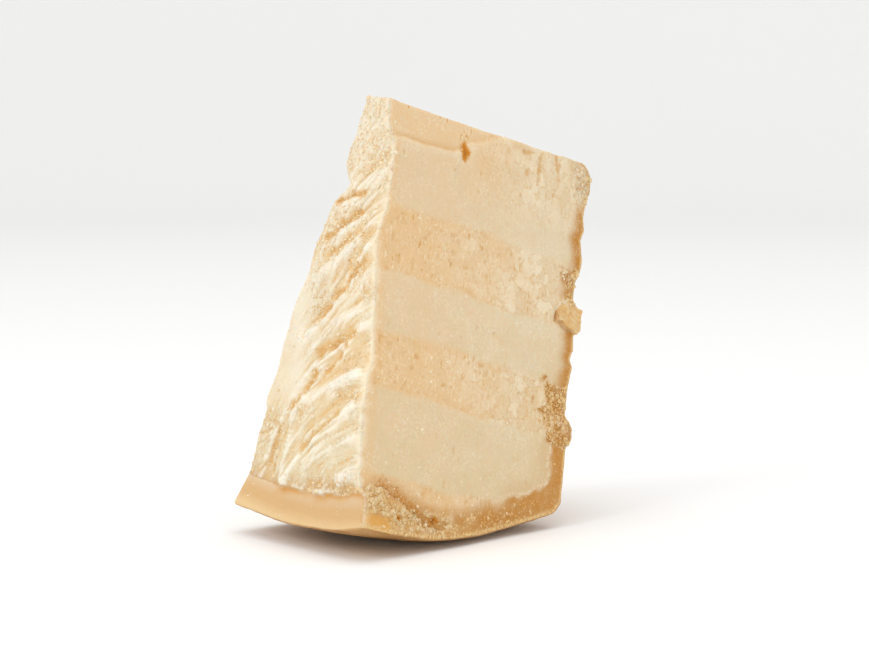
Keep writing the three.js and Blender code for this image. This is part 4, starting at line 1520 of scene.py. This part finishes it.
class CHEESE_OT_clods(Operator):
    """Pack larger crumbs where the smooth face broke up and along the rind's ledge"""
    bl_idname = "cheese.clods"
    bl_label = "Clods"

    def execute(self, context):
        """Clods lie close together in the broken patches, thinly on the sandy part."""
        amounts = context.scene.cheese_crumbs
        points, normals, mask = read_points(bpy.data.objects["chunk"])
        patches = mask("crumbled") * (1 - mask("broken")) * (1 - mask("strip"))
        weight = patches + mask("ledge") * 0.5 + mask("sandy") * 0.3 * (1 - mask("strip"))
        weight = weight * (1 - mask("skin")) * (points[:, 2] > 4 * MM)
        grains = scatter(points, normals, weight, amounts.clods,
                         (amounts.clod_small, amounts.clod_large), 0.84, seed=12, rare=1.3)
        brown = np.maximum(mask("brown"), patches * mask("golden")) * (1 - 0.2 * mask("heel"))
        brown = brown[grains.chosen]
        piece = make_piece("clods", grains.points, grains.faces,
                           crumb_material(context.scene.cheese_look),
                           {"shade": grains.shade, "brown": brown})
        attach(piece, "root")
        return {"FINISHED"}


class CHEESE_OT_crystals(Operator):
    """Scatter the small white crystals over the cut and broken faces"""
    bl_idname = "cheese.crystals"
    bl_label = "Crystals"

    def execute(self, context):
        """Crystals lie all over the paste and are half sunk into it."""
        amounts = context.scene.cheese_crumbs
        points, normals, mask = read_points(bpy.data.objects["chunk"])
        weight = (1 - mask("skin")) * (0.6 + 0.6 * mask("crumbled") + 0.4 * mask("torn")) + 0.01
        weight = weight * (points[:, 2] > 3 * MM)
        grains = scatter(points, normals, weight, amounts.crystals,
                         (amounts.crystal_small, amounts.crystal_large), 0.55, seed=8)
        piece = make_piece("crystals", grains.points, grains.faces,
                           crystal_material(context.scene.cheese_look), smooth=False)
        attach(piece, "root")
        return {"FINISHED"}


class CHEESE_OT_stage(Operator):
    """Set up the floor, the lights and the camera"""
    bl_idname = "cheese.stage"
    bl_label = "Stage"

    def execute(self, context):
        """A pale floor that curves up far away, soft lights from the left, and the camera."""
        stage = context.scene.cheese_stage
        floor = studio_floor(stage)
        soft_light("key_light", (-0.95, 0.05, 0.70), 0.5, stage.key_power)
        soft_light("top_light", (0.0, 0.0, 2.6), 3.0, stage.top_power)
        soft_light("fill_light", (0.35, -1.1, 0.55), 0.9, stage.fill_power)
        world = bpy.data.worlds.new("studio")
        world.use_nodes = True
        world.node_tree.nodes["Background"].inputs["Color"].default_value = (1, 1, 1, 1)
        world.node_tree.nodes["Background"].inputs["Strength"].default_value = stage.sky
        context.scene.world = world
        context.scene.view_settings.view_transform = "Standard"
        context.scene.camera = studio_camera(stage)
        return {"FINISHED"}


FLOOR_FLAT = 2.2       # radius of the flat middle, in metres
FLOOR_RISE = 0.8       # radius of the curve at its edge
FLOOR_SIDES = 96       # points of each ring
FLOOR_STEPS = 13       # rings of the curve


def studio_floor(stage):
    """A round floor whose edge turns up: a quarter circle carried round the middle."""
    around = np.linspace(0, 2 * np.pi, FLOOR_SIDES + 1)[:-1]
    rise = np.linspace(0, np.pi / 2, FLOOR_STEPS)
    radius = np.concatenate([[0.001, 0.3, 1.0], FLOOR_FLAT + FLOOR_RISE * np.sin(rise)])
    height = np.concatenate([[0, 0, 0], FLOOR_RISE * (1 - np.cos(rise))])
    points = np.stack([radius[:, None] * np.cos(around), radius[:, None] * np.sin(around),
                       np.repeat(height[:, None], FLOOR_SIDES, axis=1)],
                      axis=-1).reshape(-1, 3)
    row, turn = np.meshgrid(np.arange(len(radius) - 1), np.arange(FLOOR_SIDES), indexing="ij")
    inner, outer, after = row * FLOOR_SIDES, (row + 1) * FLOOR_SIDES, (turn + 1) % FLOOR_SIDES
    squares = np.stack([inner + turn, outer + turn, outer + after, inner + after],
                       axis=-1).reshape(-1, 4)
    return make_piece("floor", points, squares, plain_material("floor_paint", stage.floor, 0.8))


def soft_light(name, place, width, power):
    """A square area light of a width, aimed at the chunk's middle."""
    light = bpy.data.lights.new(name, "AREA")
    light.shape = "SQUARE"
    light.size = width
    light.energy = power
    lamp = bpy.data.objects.new(name, light)
    bpy.context.scene.collection.objects.link(lamp)
    lamp.location = place
    lamp.rotation_euler = aim_angles(place, CAMERA_AIM)
    return lamp


def aim_angles(place, target):
    """The angles that turn a lamp's or camera's -Z from its place to a target, with +Y up."""
    return (Vector(target) - Vector(place)).to_track_quat("-Z", "Y").to_euler()


def studio_camera(stage):
    """The camera on a ball round its aim, at its turn and rise."""
    turn, rise = stage.camera_turn, stage.camera_rise
    back = (math.sin(turn) * math.cos(rise), -math.cos(turn) * math.cos(rise), math.sin(rise))
    place = [a + b * stage.camera_distance for a, b in zip(CAMERA_AIM, back)]
    lens = bpy.data.cameras.new("camera")
    lens.lens = stage.lens
    lens.sensor_width = 36.0
    lens.clip_start = 0.01
    camera = bpy.data.objects.new("camera", lens)
    bpy.context.scene.collection.objects.link(camera)
    camera.location = place
    camera.rotation_euler = aim_angles(place, CAMERA_AIM)
    return camera


class CHEESE_PT_panel(Panel):
    """The sizes, colours and operators of the cheese chunk"""
    bl_label = "Hard Cheese Chunk"
    bl_idname = "CHEESE_PT_panel"
    bl_space_type = "VIEW_3D"
    bl_region_type = "UI"
    bl_category = "Cheese"

    def draw(self, context):
        """Lists each group of settings and the operators that use them."""
        for group in SETTINGS:
            settings = getattr(context.scene, group)
            box = self.layout.box()
            for key in type(settings).__annotations__:
                box.prop(settings, key)
        for operator in OPERATORS:
            self.layout.operator(operator.bl_idname)


SETTINGS = {"cheese_size": CheeseSize, "cheese_look": CheeseLook, "cheese_crumbs": CrumbSettings,
            "cheese_stage": StageSettings}
OPERATORS = (CHEESE_OT_chunk, CHEESE_OT_flake, CHEESE_OT_crumbs, CHEESE_OT_clods,
             CHEESE_OT_crystals, CHEESE_OT_stage)


def register():
    """Registers the settings, the operators and the panel."""
    for name, group in SETTINGS.items():
        bpy.utils.register_class(group)
        setattr(bpy.types.Scene, name, PointerProperty(type=group))
    for cls in (*OPERATORS, CHEESE_PT_panel):
        bpy.utils.register_class(cls)


def unregister():
    """Takes away what register added, in the opposite order."""
    for cls in (CHEESE_PT_panel, *reversed(OPERATORS)):
        bpy.utils.unregister_class(cls)
    for name, group in reversed(SETTINGS.items()):
        delattr(bpy.types.Scene, name)
        bpy.utils.unregister_class(group)


def main():
    """Makes every piece and the stage."""
    register()
    for operator in ("chunk", "flake", "crumbs", "clods", "crystals", "stage"):
        getattr(bpy.ops.cheese, operator)()


if __name__ == "__main__":
    main()
